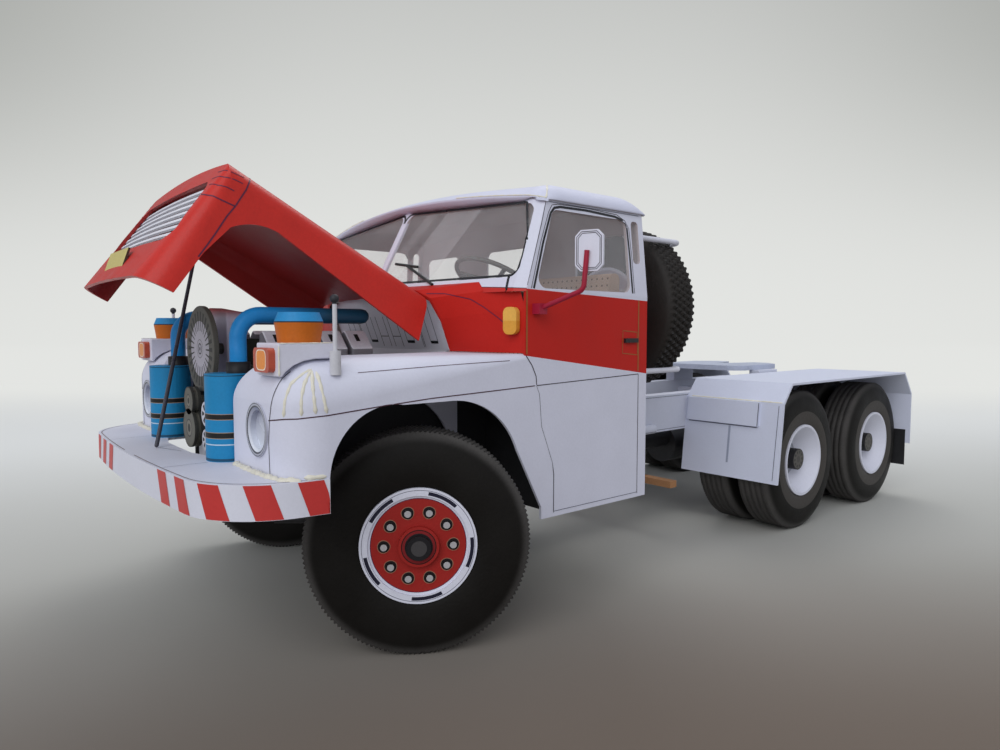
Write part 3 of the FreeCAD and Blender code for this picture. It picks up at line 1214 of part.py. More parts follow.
def cowl_form(inset):
    low = float(size.fender_top_z + size.seat_gap)
    front = cowl_outline(inset, float(size.cowl_half), low, float(size.cowl_top_z),
                         float(size.cowl_corner), float(size.cowl_front_low_y),
                         float(size.cowl_front_top_y))
    rear_y = float(size.pillar_foot_y)
    rear = cowl_outline(inset, float(size.body_half), low, float(size.cowl_rear_top_z),
                        float(size.cowl_corner), rear_y, rear_y)
    return Part.makeLoft([front, rear], True, True)


def cab_block():
    """The space that the cab's front and sides stand in, cleared from the cowl."""
    belt = float(size.belt_z)
    high = float(size.eave_z)
    x = float(size.body_half + size.overrun)
    gap = -float(size.fit_gap)
    foot = float(size.pillar_foot_y) + gap
    lower = Part.makeBox(2 * x, x, belt, Vector(-x, foot, 0))
    return lower.fuse(greenhouse(gap, belt, high))


def cowl():
    skin = cowl_form(0.0).cut(cowl_form(float(size.card))).cut(cab_block()).cut(made_shape("cab_sides"))
    keep(shaped("Cowl", skin), "cowl")


def firewall():
    """The upright panel between engine and cab, arched to fill the cowl's mouth."""
    inset = float(size.card + size.seat_gap)
    low = float(size.fender_top_z + size.seat_gap)
    y_low = float(size.cowl_front_low_y + size.firewall_inset)
    y_top = float(size.cowl_front_top_y + size.firewall_inset)
    arch = Part.Face(cowl_outline(inset, float(size.cowl_half), low, float(size.cowl_top_z),
                                  float(size.cowl_corner), y_low, y_top))
    plate = arch.extrude(Vector(0, float(size.card), 0))
    half = float(size.housing_x - size.seat_gap)
    skirt = Part.makeBox(2 * half, float(size.card), low - float(size.firewall_foot_z),
                         Vector(-half, y_low, float(size.firewall_foot_z)))
    panel = plate.fuse(skirt).cut(made_shape("cab_front_frame"))
    keep(shaped("Firewall", panel), "firewall")


# Inside the cab
def dashboard():
    half = size.body_half - size.screen_corner_inset - size.cab_wall * 2
    body = new_body("Dashboard")
    sketch = sketch_on(body, "DashboardOutline", "YZ_Plane")
    front = size.pillar_foot_y + size.free_gap
    top = size.belt_z
    closed_outline(sketch, [(front, top - size.dash_height),
                            (front + size.dash_depth, top - size.dash_height),
                            (front + size.dash_depth, top - size.dash_height / 3),
                            (front + size.dash_depth / 2, top), (front, top)])
    pad(body, "DashboardPad", sketch, half * 2, both_ways=True)
    keep(body, "dashboard")


def bench_seat():
    body = new_body("BenchSeat")
    sketch = sketch_on(body, "BenchSeatOutline", "YZ_Plane")
    base = size.floor_z + size.card
    rear = size.seat_front_y + size.seat_depth
    cushion = base + size.seat_height
    crest = cushion + size.back_height
    closed_outline(sketch, [
        (size.seat_front_y, base), (rear + size.back_depth / 2, base), (rear + size.back_depth, crest),
        (rear, crest), (rear - size.back_depth / 2, cushion), (size.seat_front_y, cushion)])
    pad(body, "BenchSeatPad", sketch, size.seat_half * 2, both_ways=True)
    rounded_edges(body, "BenchSeatRound", size.seat_round,
                  lambda middle, along: abs(along.x) > 0.9 and middle.z > float(base))
    keep(body, "bench_seat")


def steering_wheel():
    tilt = Rotation(ALONG_X, -float(size.wheel_tilt))
    hub = Vector(float(size.wheel_x), float(size.wheel_y), float(size.wheel_z))
    down = tilt.multVec(-ALONG_Z)
    ring = Part.makeTorus(float(size.wheel_ring_radius), float(size.wheel_ring_wire), hub, down)
    column = Part.makeCylinder(float(size.column_radius), float(size.column_length), hub, down)
    spokes = []
    for number in range(3):
        way = tilt.multVec(Rotation(ALONG_Z, 90 + 120 * number).multVec(ALONG_X))
        spokes.append(Part.makeCylinder(float(size.wheel_ring_wire), float(size.wheel_ring_radius),
                                        hub, way))
    wheel = ring.fuse([column] + spokes).cut(made_shape("dashboard"))
    keep(shaped("SteeringWheel", largest(wheel)), "steering_wheel")


def wipers():
    """A blade and an arm of thin wire on each pane."""
    pieces = []
    radius = float(size.wiper_wire)
    foot_z = float(size.screen_low_z - size.card)
    head_z = float(size.screen_low_z + size.wiper_rise)
    reach = float(size.wiper_half) / 2
    tilt = float(size.card)
    for word, side in SIDES:
        head_x = side * float(size.wiper_head_x)
        foot = screen_point(side * float(size.wiper_foot_x), foot_z)
        head = screen_point(head_x, head_z)
        low = screen_point(head_x + reach, head_z - tilt)
        high = screen_point(head_x - reach, head_z + tilt)
        arm = Part.makeCylinder(radius, (head - foot).Length, foot, head - foot)
        blade = Part.makeCylinder(radius, (high - low).Length, low, high - low)
        pieces.append(arm.fuse(blade))
    keep(shaped("Wipers", Part.makeCompound(pieces)), "wipers")


def screen_point(x, z):
    """A point just clear of the screen's outer face."""
    share = (z - float(size.belt_z)) / float(size.eave_z - size.belt_z)
    middle = float(size.screen_foot_middle_y) * (1 - share) + float(size.screen_head_middle_y) * share
    corner = float(size.screen_foot_corner_y) * (1 - share) + float(size.screen_head_corner_y) * share
    corner_x = (float(size.body_half) * (1 - share) + float(size.eave_half) * share
                - float(size.screen_corner_inset))
    across = abs(x) / corner_x
    return Vector(x, middle * (1 - across) + corner * across - float(size.wiper_gap), z)


# Engine bay
def engine():
    low = size.backbone_z + size.backbone_radius + size.seat_gap
    block = box("EngineBlock", size.engine_half * 2, size.engine_rear_y - size.engine_front_y,
                size.engine_top_z - low, (-size.engine_half, size.engine_front_y, low))
    tower = box("FanTower", size.fan_boss_radius * 2, size.tower_length,
                size.fan_z + size.fan_boss_radius - size.engine_top_z,
                (-size.fan_boss_radius, size.engine_front_y, size.engine_top_z))
    keep(fused("Engine", [block, tower]), "engine_block")


def cylinder_heads():
    """A row of ribbed white covers along each bank, sloped on top and trimmed to the block."""
    covers = []
    inner_share, ridge_share, outer_share = (0.75, 0.35, 0.8)
    width = float(size.head_width)
    height = float(size.head_height)
    x = float(size.head_x) - width / 2
    z = float(size.engine_top_z - size.head_sink)
    for number in range(int(size.head_count)):
        y = float(size.head_first_y) + number * float(size.head_pitch)
        covers.append(rounded_prism(
            [(x, y, z), (x + width, y, z), (x + width, y, z + height * outer_share),
             (x + width * ridge_share, y, z + height), (x, y, z + height * inner_share)],
            float(size.head_round), (0, float(size.head_length), 0)))
    half = float(size.engine_half)
    front = float(size.engine_front_y)
    block = Part.makeBox(half * 2, float(size.engine_rear_y) - front, float(size.engine_top_z),
                         Vector(-half, front, 0))
    bank = Part.makeCompound(covers).cut(block)
    keep(shaped("CylinderHeads", Part.makeCompound(bank.Solids + mirrored(bank).Solids)),
         "cylinder_heads")


def cooling_fan():
    body = turned("CoolingFan", [
        (0, 0), (0, size.fan_boss_radius), (size.fan_dish, size.fan_boss_radius + size.fan_dish),
        (size.fan_dish, size.fan_radius - size.fan_rim), (0, size.fan_radius - size.fan_rim),
        (0, size.fan_radius), (size.fan_depth, size.fan_radius), (size.fan_depth, size.shaft_radius),
        (size.engine_front_y - size.fan_y, size.shaft_radius), (size.engine_front_y - size.fan_y, 0)])
    body.Placement = Placement(ORIGIN, Rotation(ALONG_Z, 90))
    place(body, (0, size.fan_y, size.fan_z))
    keep(body, "cooling_fan")


def grooved_pulley(name, radius, height):
    reach = size.engine_front_y - size.pulley_y
    third = size.pulley_depth / 3
    body = turned(name, [
        (0, 0), (0, radius), (third, radius), (third, radius - size.pulley_groove),
        (third * 2, radius - size.pulley_groove), (third * 2, radius), (size.pulley_depth, radius),
        (size.pulley_depth, size.shaft_radius), (reach, size.shaft_radius), (reach, 0)])
    body.Placement = Placement(ORIGIN, Rotation(ALONG_Z, 90))
    place(body, (0, size.pulley_y, height))
    return body


def belt_drive():
    pulleys = [grooved_pulley("IdlerPulley", size.idler_radius, size.idler_z),
               grooved_pulley("CrankPulley", size.crank_radius, size.crank_z)]
    generator = cylinder("Generator", size.generator_radius, size.generator_length,
                         (size.generator_x, size.engine_front_y - size.generator_length,
                          size.generator_z), ALONG_Y)
    drum = cylinder("StarterDrum", size.drum_radius, size.generator_length,
                    (size.drum_x, size.engine_front_y - size.generator_length, size.drum_z), ALONG_Y)
    keep(grouped("BeltDrive", pulleys), "belt_pulleys")
    keep(grouped("Auxiliaries", [generator, drum]), "generator_and_drum")


def air_cleaners():
    cans = []
    for word, side in SIDES:
        cans.append(cylinder("CleanerCan" + word, size.cleaner_radius, size.cleaner_height,
                             (side * size.cleaner_x, size.cleaner_y, size.bumper_top_z)))
    keep(grouped("AirCleaners", cans), "air_cleaners")


def intake_pipes():
    """A collar on each canister and a pipe bent back to the firewall."""
    foot = float(size.bumper_top_z + size.cleaner_height)
    x = float(size.cleaner_x)
    y = float(size.collar_y)
    high = float(size.pipe_z)
    tube = bent_tube([(x, y, foot), (x, y, high), (x, float(size.pipe_rear_y), high)],
                     float(size.pipe_radius), float(size.pipe_bend))
    collar = Part.makeCylinder(float(size.collar_radius), float(size.collar_height), Vector(x, y, foot))
    keep(shaped("IntakePipes", pair(tube.fuse(collar))), "intake_pipes")


# Bonnet: one folded and curved card skin, drawn closed with its top level and then opened
def bonnet_place():
    """Turns the level bonnet up to its open rest about the hinge line."""
    turn = Rotation(ALONG_X, -float(size.open_angle))
    hinge = Vector(0, float(size.hinge_y), float(size.hinge_z))
    return Placement(hinge, turn)


def opened(name, shape):
    """A piece of the bonnet, drawn in the level bonnet and turned up with it."""
    thing = shaped(name, shape)
    thing.Placement = bonnet_place().multiply(shape.Placement)
    return thing


def mixed(high, low, share):
    """A length that changes evenly from the bonnet's top to its lower edge."""
    return float(high) + (float(low) - float(high)) * share


def nose_reach(share):
    """How far the nose reaches ahead of the hinge, a share of the way down."""
    return (mixed(size.bonnet_top_side, size.bonnet_side_end, share)
            + mixed(size.bonnet_top_nose, size.bonnet_low_nose, share))


def bonnet_plan(inset, depth, share):
    """The bonnet seen from above at a depth below its top; forward is -Y."""
    half = float(size.bonnet_half) - inset
    corner = mixed(size.bonnet_top_corner, size.bonnet_low_corner, share)
    front = nose_reach(share) - inset
    bow = float(size.bonnet_bow)
    turn = front - bow - corner
    rear = -float(size.overrun) * 2
    bend = corner * CORNER_SHARE
    z = -depth
    edges = [
        Part.LineSegment(Vector(half, -rear, z), Vector(half, -turn, z)),
        Part.Arc(Vector(half, -turn, z), Vector(half - bend, -front + bow + bend, z),
                 Vector(half - corner, -front + bow, z)),
        Part.Arc(Vector(half - corner, -front + bow, z), Vector(0, -front, z),
                 Vector(corner - half, -front + bow, z)),
        Part.Arc(Vector(corner - half, -front + bow, z), Vector(bend - half, -front + bow + bend, z),
                 Vector(-half, -turn, z)),
        Part.LineSegment(Vector(-half, -turn, z), Vector(-half, -rear, z)),
        Part.LineSegment(Vector(-half, -rear, z), Vector(half, -rear, z))]
    return Part.Wire([edge.toShape() for edge in edges])


def bonnet_form(inset):
    """The solid inside the bonnet's skin, drawn in by the inset."""
    depth = float(size.bonnet_depth)
    over = float(size.overrun)
    slope = over / depth
    tub = Part.makeLoft([bonnet_plan(inset, -over, -slope),
                         bonnet_plan(inset, depth + over, 1 + slope)], True, True)
    half = float(size.bonnet_half) - inset
    turn = float(size.bonnet_round)
    crown = float(size.bonnet_crown) - inset
    edge_z = -inset
    low = -depth - over
    start = over * 2
    reach = -float(size.bonnet_reach) - start
    bend = turn * CORNER_SHARE
    edges = [
        Part.LineSegment(Vector(half, start, low), Vector(half, start, edge_z - turn)),
        Part.Arc(Vector(half, start, edge_z - turn), Vector(half - bend, start, edge_z - bend),
                 Vector(half - turn, start, edge_z)),
        Part.Arc(Vector(half - turn, start, edge_z), Vector(0, start, crown),
                 Vector(turn - half, start, edge_z)),
        Part.Arc(Vector(turn - half, start, edge_z), Vector(bend - half, start, edge_z - bend),
                 Vector(-half, start, edge_z - turn)),
        Part.LineSegment(Vector(-half, start, edge_z - turn), Vector(-half, start, low)),
        Part.LineSegment(Vector(-half, start, low), Vector(half, start, low))]
    bar = Part.Face(Part.Wire([edge.toShape() for edge in edges])).extrude(Vector(0, reach, 0))
    return tub.common(bar)


def bonnet_underside():
    """What is cut away below the bonnet's side edges and behind its rear edge."""
    x = float(size.bonnet_half + size.overrun)
    over = float(size.overrun)
    low = -float(size.bonnet_depth) - over * 2

    def at(along, depth):
        return Vector(-x, -float(along), -float(depth))

    rear = at(-size.bonnet_rear_rake, size.bonnet_rear_depth)
    arch = at(size.bonnet_arch_start, size.bonnet_arch_depth)
    turn = at(size.bonnet_arch_turn, size.bonnet_arch_turn_depth)
    nose = at(size.bonnet_nose_turn, size.bonnet_nose_turn_depth)
    end = at(size.bonnet_side_end, size.bonnet_depth)
    ahead = at(size.bonnet_reach, size.bonnet_depth)
    bulge = float(size.bonnet_arch_bulge)
    middle = Vector(-x, (arch.y + turn.y) / 2 - bulge, (arch.z + turn.z) / 2 + bulge)
    back = Vector(-x, over * 3, rear.z)
    edges = [
        Part.LineSegment(back, rear), Part.LineSegment(rear, arch), Part.Arc(arch, middle, turn),
        Part.LineSegment(turn, nose), Part.LineSegment(nose, end), Part.LineSegment(end, ahead),
        Part.LineSegment(ahead, Vector(-x, ahead.y, low)),
        Part.LineSegment(Vector(-x, ahead.y, low), Vector(-x, over * 3, low)),
        Part.LineSegment(Vector(-x, over * 3, low), back)]
    below = Part.Face(Part.Wire([edge.toShape() for edge in edges])).extrude(ALONG_X * (2 * x))
    rake = float(size.bonnet_rear_rake) / float(size.bonnet_rear_depth)
    gap = float(size.free_gap)
    behind = prism([(-x, -over * rake - gap, over),
                    (-x, float(size.bonnet_depth) * rake - gap, -float(size.bonnet_depth)),
                    (-x, over * 4, -float(size.bonnet_depth)), (-x, over * 4, over)], (2 * x, 0, 0))
    return [below, behind]


def grille_opening():
    """The grille opening, run through the nose and wider towards its foot."""
    top = -float(size.grille_top)
    low = -float(size.grille_low)
    half_top = float(size.grille_half_top)
    half_low = float(size.grille_half_low)
    y = -float(size.bonnet_reach)
    return rounded_prism([(-half_low, y, low), (half_low, y, low), (half_top, y, top),
                          (-half_top, y, top)],
                         float(size.grille_round), (0, float(size.bonnet_top_side) / 2, 0))


def bonnet():
    skin = bonnet_form(0.0).cut(bonnet_form(float(size.card)))
    skin = skin.cut(bonnet_underside() + [grille_opening()])
    keep(opened("Bonnet", skin), "bonnet")


def grille_slats():
    """Level slats across the opening, seated behind its sides."""
    inner = bonnet_form(float(size.card) + float(size.fit_gap))
    core = bonnet_form(float(size.card) + float(size.fit_gap) + float(size.slat_depth))
    ring = inner.cut(core)
    count = int(size.slat_count)
    pitch = float(size.grille_low - size.grille_top) / (count + 1)
    half = float(size.bonnet_half)
    reach = float(size.bonnet_reach)
    slats = []
    for number in range(count):
        z = -float(size.grille_top) - pitch * (number + 1)
        slab = Part.makeBox(half * 2, reach - float(size.bonnet_top_side), float(size.slat_height),
                            Vector(-half, -reach, z))
        slats += ring.common(slab).Solids
    keep(opened("GrilleSlats", Part.makeCompound(slats)), "grille_slats")


def blank_plate():
    """The bare plate under the grille, flat on the nose."""
    share = float(size.plate_top + size.plate_height / 2) / float(size.bonnet_depth)
    front = nose_reach(share)
    lean = math.atan((nose_reach(1) - nose_reach(0)) / float(size.bonnet_depth))
    half = float(size.plate_half)
    high = float(size.plate_height) / 2
    plate = Part.makeBox(2 * half, float(size.plate_thick), 2 * high,
                         Vector(-half, -float(size.plate_thick) - float(size.seat_gap), -high))
    plate.rotate(ORIGIN, ALONG_X, math.degrees(lean))
    plate.translate(Vector(0, -front, -float(size.bonnet_depth) * share))
    plate = plate.cut(bonnet_form(0.0))
    keep(opened("BlankPlate", plate), "blank_plate")


def bonnet_stay():
    foot = Vector(float(size.stay_foot_x), float(size.stay_foot_y),
                  float(size.bumper_top_z + size.seat_gap + size.stay_wire))
    tip = Vector(float(size.stay_tip_x), float(size.stay_tip_y), float(size.stay_tip_z))
    rod = Part.makeCylinder(float(size.stay_wire), (tip - foot).Length, foot, tip - foot)
    ball = Part.makeSphere(float(size.stay_wire), foot)
    keep(shaped("BonnetStay", rod.fuse(ball)), "bonnet_stay")


# Mirrors on bent red arms
def mirrors():
    half_width = float(size.mirror_width) / 2
    half_height = float(size.mirror_height) / 2
    corner = float(size.mirror_corner)
    outline = [(half_width, corner - half_height), (half_width, half_height - corner),
               (half_width - corner, half_height), (corner - half_width, half_height),
               (-half_width, half_height - corner), (-half_width, corner - half_height),
               (corner - half_width, -half_height), (half_width - corner, -half_height)]
    plate = prism([(x, 0, z) for x, z in outline], (0, float(size.card), 0))
    plate.rotate(ORIGIN, ALONG_Z, float(size.mirror_turn))
    plate.translate(Vector(float(size.mirror_x), float(size.mirror_y), float(size.mirror_z)))
    keep(shaped("Mirrors", pair(plate)), "mirrors")
    foot_size = float(size.mirror_foot_size)
    foot_x = float(size.body_half)
    foot = Part.makeBox(foot_size, foot_size, foot_size, Vector(
        foot_x, float(size.mirror_foot_y) - foot_size / 2, float(size.mirror_foot_z) - foot_size / 2))
    elbow = (float(size.mirror_elbow_x), float(size.mirror_y - size.card), float(size.mirror_elbow_z))
    head = (float(size.mirror_x), float(size.mirror_y) - float(size.mirror_arm + size.fit_gap),
            float(size.mirror_z))
    start = (foot_x + foot_size / 2, float(size.mirror_foot_y), float(size.mirror_foot_z))
    arm = bent_tube([start, elbow, head], float(size.mirror_arm), float(size.mirror_arm_bend))
    keep(shaped("MirrorArms", pair(largest(foot.fuse(arm).cut(plate)))), "mirror_arms")


# Door handles, each a small grip laid on the door
def door_handles():
    grips = []
    for word, side in SIDES:
        grips.append(box("DoorHandle" + word, size.handle_rise, size.handle_length, size.handle_height,
                         (size.body_half if side > 0 else -size.body_half - size.handle_rise,
                          size.handle_y, size.handle_z)))
    keep(grouped("DoorHandles", grips), "door_handles")


# Spare wheel in two hoops behind the cab
def spare_wheel():
    rubber = tyre("SpareTyre")
    rubber.Placement = Placement(ORIGIN, Rotation(ALONG_Z, 90))
    place(rubber, (size.spare_x, size.spare_y, size.spare_z))
    keep(rubber, "spare_tyre")
    inner = size.rim_radius - size.rim_wall
    rim = turned("SpareRim", [
        (0, size.rim_radius), (0, inner), (size.dish_depth, size.dish_floor_radius),
        (size.dish_depth, size.axle_radius), (size.dish_depth + size.disc_wall, size.axle_radius),
        (size.dish_depth + size.disc_wall, size.dish_floor_radius), (size.flange_width, inner),
        (size.rim_inner_width, inner), (size.rim_inner_width, size.rim_radius)])
    rim.Placement = Placement(ORIGIN, Rotation(ALONG_Z, 90))
    place(rim, (size.spare_x, size.spare_y - size.tyre_width / 2, size.spare_z))
    keep(rim, "spare_rim")


def spare_hoops():
    hoops = []
    wall_y = float(size.cab_rear_y)
    wire_radius = float(size.hoop_wire)
    for height in (float(size.hoop_top_z), float(size.hoop_low_z)):
        rise = abs(height - float(size.spare_z)) - wire_radius
        chord = math.sqrt(float(size.tyre_radius) ** 2 - rise ** 2)
        half = chord + wire_radius + float(size.free_gap)
        x = float(size.spare_x)
        hoops.append(bent_tube([
            (x - half, wall_y, height), (x - half, float(size.hoop_rear_y), height),
            (x + half, float(size.hoop_rear_y), height), (x + half, wall_y, height)],
            wire_radius, float(size.hoop_round)))
    keep(shaped("SpareHoops", Part.makeCompound(hoops)), "spare_hoops")


# Fifth wheel: a plate with ramps and a throat, on two pedestals
def fifth_wheel():
    body = new_body("CouplingPlate")
    sketch = sketch_on(body, "CouplingOutline", "XY_Plane", size.coupling_top_z - size.coupling_plate)
    front = size.coupling_y - size.coupling_length / 2
    rear = size.coupling_y + size.coupling_length / 2
    half = size.coupling_half
    closed_outline(sketch, [
        (-half, front), (half, front), (half, rear - size.coupling_round), (size.throat_half * 2, rear),
        (size.throat_half, rear), (size.coupling_bore, size.coupling_y + size.coupling_bore * 2),
        (-size.coupling_bore, size.coupling_y + size.coupling_bore * 2), (-size.throat_half, rear),
        (-size.throat_half * 2, rear), (-half, rear - size.coupling_round)])
    pad(body, "CouplingPad", sketch, size.coupling_plate)
    rounded_edges(body, "CouplingRound", size.coupling_round,
                  lambda middle, along: abs(along.z) > 0.9 and middle.y < float(front + size.fit_gap))
    eye = sketch_on(body, "CouplingEye", "XY_Plane", size.coupling_top_z - size.coupling_plate)
    circle(eye, 0, size.coupling_y, size.coupling_bore)
    drilled = pocket(body, "CouplingBore", eye, size.coupling_plate, backwards=True)
    body.Tip = drilled
    keep(body, "fifth_wheel_plate")
    pedestals = []
    for word, side in SIDES:
        middle = side * (size.rail_x - size.rail_width / 2)
        pedestals.append(box("Pedestal" + word, size.pedestal_width, size.pedestal_length,
                             size.coupling_top_z - size.coupling_plate - size.rail_top_z,
                             (middle - size.pedestal_width / 2,
                              size.coupling_y - size.pedestal_length / 2, size.rail_top_z)))
    keep(grouped("Pedestals", pedestals), "fifth_wheel_pedestals")


# Rear mudguards: folded card covers over both twin wheels, with a locker on the front panel
def rear_mudguards():
    covers = []
    for word, side in SIDES:
        body = new_body("Mudguard" + word)
        start = size.guard_inner_x if side > 0 else -size.guard_outer_x
        sketch = sketch_on(body, "MudguardOutline" + word, "YZ_Plane", start)
        card = size.card
        closed_outline(sketch, [
            (size.guard_front_low_y, size.guard_low_z), (size.guard_front_top_y, size.guard_knee_z),
            (size.guard_front_bend_y, size.guard_top_z), (size.guard_rear_bend_y, size.guard_top_z),
            (size.guard_rear_knee_y, size.guard_rear_knee_z),
            (size.guard_rear_knee_y, size.guard_rear_low_z),
            (size.guard_rear_knee_y - card, size.guard_rear_low_z),
            (size.guard_rear_knee_y - card, size.guard_rear_knee_z - card / 2),
            (size.guard_rear_bend_y - card / 2, size.guard_top_z - card),
            (size.guard_front_bend_y + card / 2, size.guard_top_z - card),
            (size.guard_front_top_y + card, size.guard_knee_z - card / 2),
            (size.guard_front_low_y + card, size.guard_low_z)])
        pad(body, "MudguardPad" + word, sketch, size.guard_outer_x - size.guard_inner_x)
        locker_start = size.locker_inner_x if side > 0 else -size.locker_outer_x
        locker = sketch_on(body, "LockerOutline" + word, "YZ_Plane", locker_start)
        lean = (size.guard_front_top_y - size.guard_front_low_y) / (size.guard_knee_z - size.guard_low_z)
        low_y = size.guard_front_low_y + lean * (size.locker_low_z - size.guard_low_z)
        closed_outline(locker, [
            (low_y - size.locker_depth, size.locker_low_z),
            (size.guard_front_top_y - size.locker_depth, size.guard_knee_z),
            (size.guard_front_top_y + card / 2, size.guard_knee_z), (low_y + card / 2, size.locker_low_z)])
        pad(body, "LockerPad" + word, locker, size.locker_outer_x - size.locker_inner_x)
        covers.append(body)
    keep(grouped("Mudguards", covers), "rear_mudguards")


def mud_flaps():
    flaps = []
    width = size.guard_outer_x - size.guard_inner_x - size.flap_inset * 2
    for word, side in SIDES:
        start = size.guard_inner_x + size.flap_inset if side > 0 else size.flap_inset - size.guard_outer_x
        flaps.append(box("MudFlap" + word, width, size.flap_card,
                         size.guard_rear_low_z + size.flap_lap - size.flap_low_z,
                         (start, size.guard_rear_knee_y - size.card - size.flap_card, size.flap_low_z)))
    keep(grouped("MudFlaps", flaps), "mud_flaps")


front_wheels_and_knuckles()
rear_wheel_sets()
backbone()
half_axles()
chassis_frame()
lower_crossbar()
bumper()
fenders()
wheel_housings()
headlights()
lamp_boxes()
amber_lamps()
filter_bowls()
marker_poles()
cab_walls()
cab_windows()
cab_roof()
cab_floor()
cowl()
firewall()
dashboard()
bench_seat()
steering_wheel()
wipers()
engine()
cylinder_heads()
cooling_fan()
belt_drive()
air_cleaners()
intake_pipes()
bonnet()
grille_slats()
blank_plate()
bonnet_stay()
mirrors()
door_handles()
spare_wheel()
spare_hoops()
fifth_wheel()
rear_mudguards()
mud_flaps()

document.recompute()
for item in document.Objects:
    if "Invalid" in item.State or "Error" in item.State:
        raise RuntimeError("%s failed: %s" % (item.Name, item.State))
os.makedirs("parts", exist_ok=True)
for node in nodes:
    if node.Shape.isNull() or not node.Shape.isValid() or not node.Shape.Solids:
        raise RuntimeError("%s has no sound shape" % node.Label)
for node in nodes:
    node.Shape.exportStep("parts/%s.step" % node.Label)
print("%d nodes written" % len(nodes))
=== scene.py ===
import bpy
import math
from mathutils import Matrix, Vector
from mathutils.bvhtree import BVHTree


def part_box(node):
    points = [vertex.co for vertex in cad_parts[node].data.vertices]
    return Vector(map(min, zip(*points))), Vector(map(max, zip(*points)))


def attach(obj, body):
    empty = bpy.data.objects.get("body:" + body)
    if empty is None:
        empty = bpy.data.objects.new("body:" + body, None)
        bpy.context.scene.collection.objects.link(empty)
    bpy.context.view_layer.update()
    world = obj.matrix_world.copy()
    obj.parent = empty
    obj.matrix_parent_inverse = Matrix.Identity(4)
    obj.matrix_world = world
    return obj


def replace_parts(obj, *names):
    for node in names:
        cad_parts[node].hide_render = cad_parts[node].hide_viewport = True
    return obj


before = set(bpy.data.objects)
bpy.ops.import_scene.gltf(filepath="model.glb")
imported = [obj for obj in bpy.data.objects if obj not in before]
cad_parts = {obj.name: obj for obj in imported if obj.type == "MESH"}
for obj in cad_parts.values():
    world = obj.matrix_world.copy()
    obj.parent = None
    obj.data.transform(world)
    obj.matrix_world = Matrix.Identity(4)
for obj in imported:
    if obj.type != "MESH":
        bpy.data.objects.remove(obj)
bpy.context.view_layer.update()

# The photograph's view
# The model stands on a pale table and is seen from just ahead of its left front corner,
# level with the engine bay, in the soft light of a window.
mm = 0.001
view_place = (120.98, -123.97, 48.82)
view_turn = 49.88
view_drop = 3.68
view_lens = 25.21
camera_data = bpy.data.cameras.new("view")
camera_data.lens = view_lens
camera_data.sensor_width = 36.0
camera_data.clip_start = 0.001
camera = bpy.data.objects.new("view", camera_data)
camera.location = Vector(view_place) * mm
camera.rotation_euler = (math.radians(90.0 - view_drop), 0.0, math.radians(view_turn))
bpy.context.scene.collection.objects.link(camera)
bpy.context.scene.camera = camera
bpy.context.scene.view_settings.view_transform = "Standard"

# The table and the wall behind it
# One sheet of pale grey-green paper, laid flat and swept up far behind the model. Its colour holds painted
# shade: darker near the camera and under the model, and darker towards the top and into the far corners.
near_shade = (0.150, 0.118, 0.094)
middle_shade = (0.46, 0.46, 0.43)
far_shade = (0.775, 0.785, 0.765)
high_shade = (0.47, 0.48, 0.468)
side_shade = (0.33, 0.34, 0.32)
side_dimming = 0.72
shade_lean = 0.15
shade_bend = 0.24
sweep_half = 3.2
sweep_wide = 1.8 * sweep_half
sweep_rise = 2.4
sweep_round = 0.9
sweep_steps = 16


def mesh_object(name, verts, faces, smooth=True):
    mesh = bpy.data.meshes.new(name)
    mesh.from_pydata([tuple(v) for v in verts], [], faces)
    mesh.validate()
    mesh.polygons.foreach_set("use_smooth", [smooth] * len(mesh.polygons))
    piece = bpy.data.objects.new(name, mesh)
    bpy.context.scene.collection.objects.link(piece)
    return piece


def new_finish(name):
    finish = bpy.data.materials.new(name)
    finish.use_nodes = True
    tree = finish.node_tree
    return finish, tree, tree.nodes["Principled BSDF"]


def fill(tree, made, feeds):
    """Feeds a node's inputs from a table of their names or places."""
    for word, value in dict(feeds).items():
        feed(tree, made.inputs[word], value)


def node(tree, kind, feeds=(), **settings):
    made = tree.nodes.new(kind)
    for word, value in settings.items():
        setattr(made, word, value)
    fill(tree, made, feeds)
    return made


class Tone:
    """A value or a colour in a material's nodes, which adds up and compares by the usual signs."""

    def __init__(self, tree, socket):
        self.tree = tree
        self.socket = socket

    def done(self, operation, *others):
        return maths(self.tree, operation, self, *others)

    def __add__(self, other):
        return self.done("ADD", other)

    def __sub__(self, other):
        return self.done("SUBTRACT", other)

    def __rsub__(self, other):
        return maths(self.tree, "SUBTRACT", other, self)

    def __mul__(self, other):
        return self.done("MULTIPLY", other)

    def __truediv__(self, other):
        return self.done("DIVIDE", other)

    def __gt__(self, other):
        return self.done("GREATER_THAN", other)

    def __lt__(self, other):
        return self.done("LESS_THAN", other)

    def __abs__(self):
        return self.done("ABSOLUTE")

    def within(self, low, high):
        return (self > low) * (self < high)


def feed(tree, socket, value):
    """Links an input or sets it; a colour's fourth number is 1."""
    if isinstance(value, Tone):
        value = value.socket
    if isinstance(value, bpy.types.NodeSocket):
        tree.links.new(value, socket)
    else:
        socket.default_value = (*value, 1.0) if socket.type == "RGBA" else value


def maths(tree, operation, *values):
    return Tone(tree, node(tree, "ShaderNodeMath", enumerate(values), operation=operation).outputs[0])


def arrow(tree, operation, first, second, output=0):
    """A sum of two directions or places."""
    return node(tree, "ShaderNodeVectorMath", {0: first, 1: second}, operation=operation).outputs[output]


def dot(tree, first, second):
    return Tone(tree, arrow(tree, "DOT_PRODUCT", first, second, "Value"))


def noise(tree, where, scale, detail=2.0):
    made = node(tree, "ShaderNodeTexNoise", {"Vector": where, "Scale": scale, "Detail": detail})
    return Tone(tree, made.outputs[0])


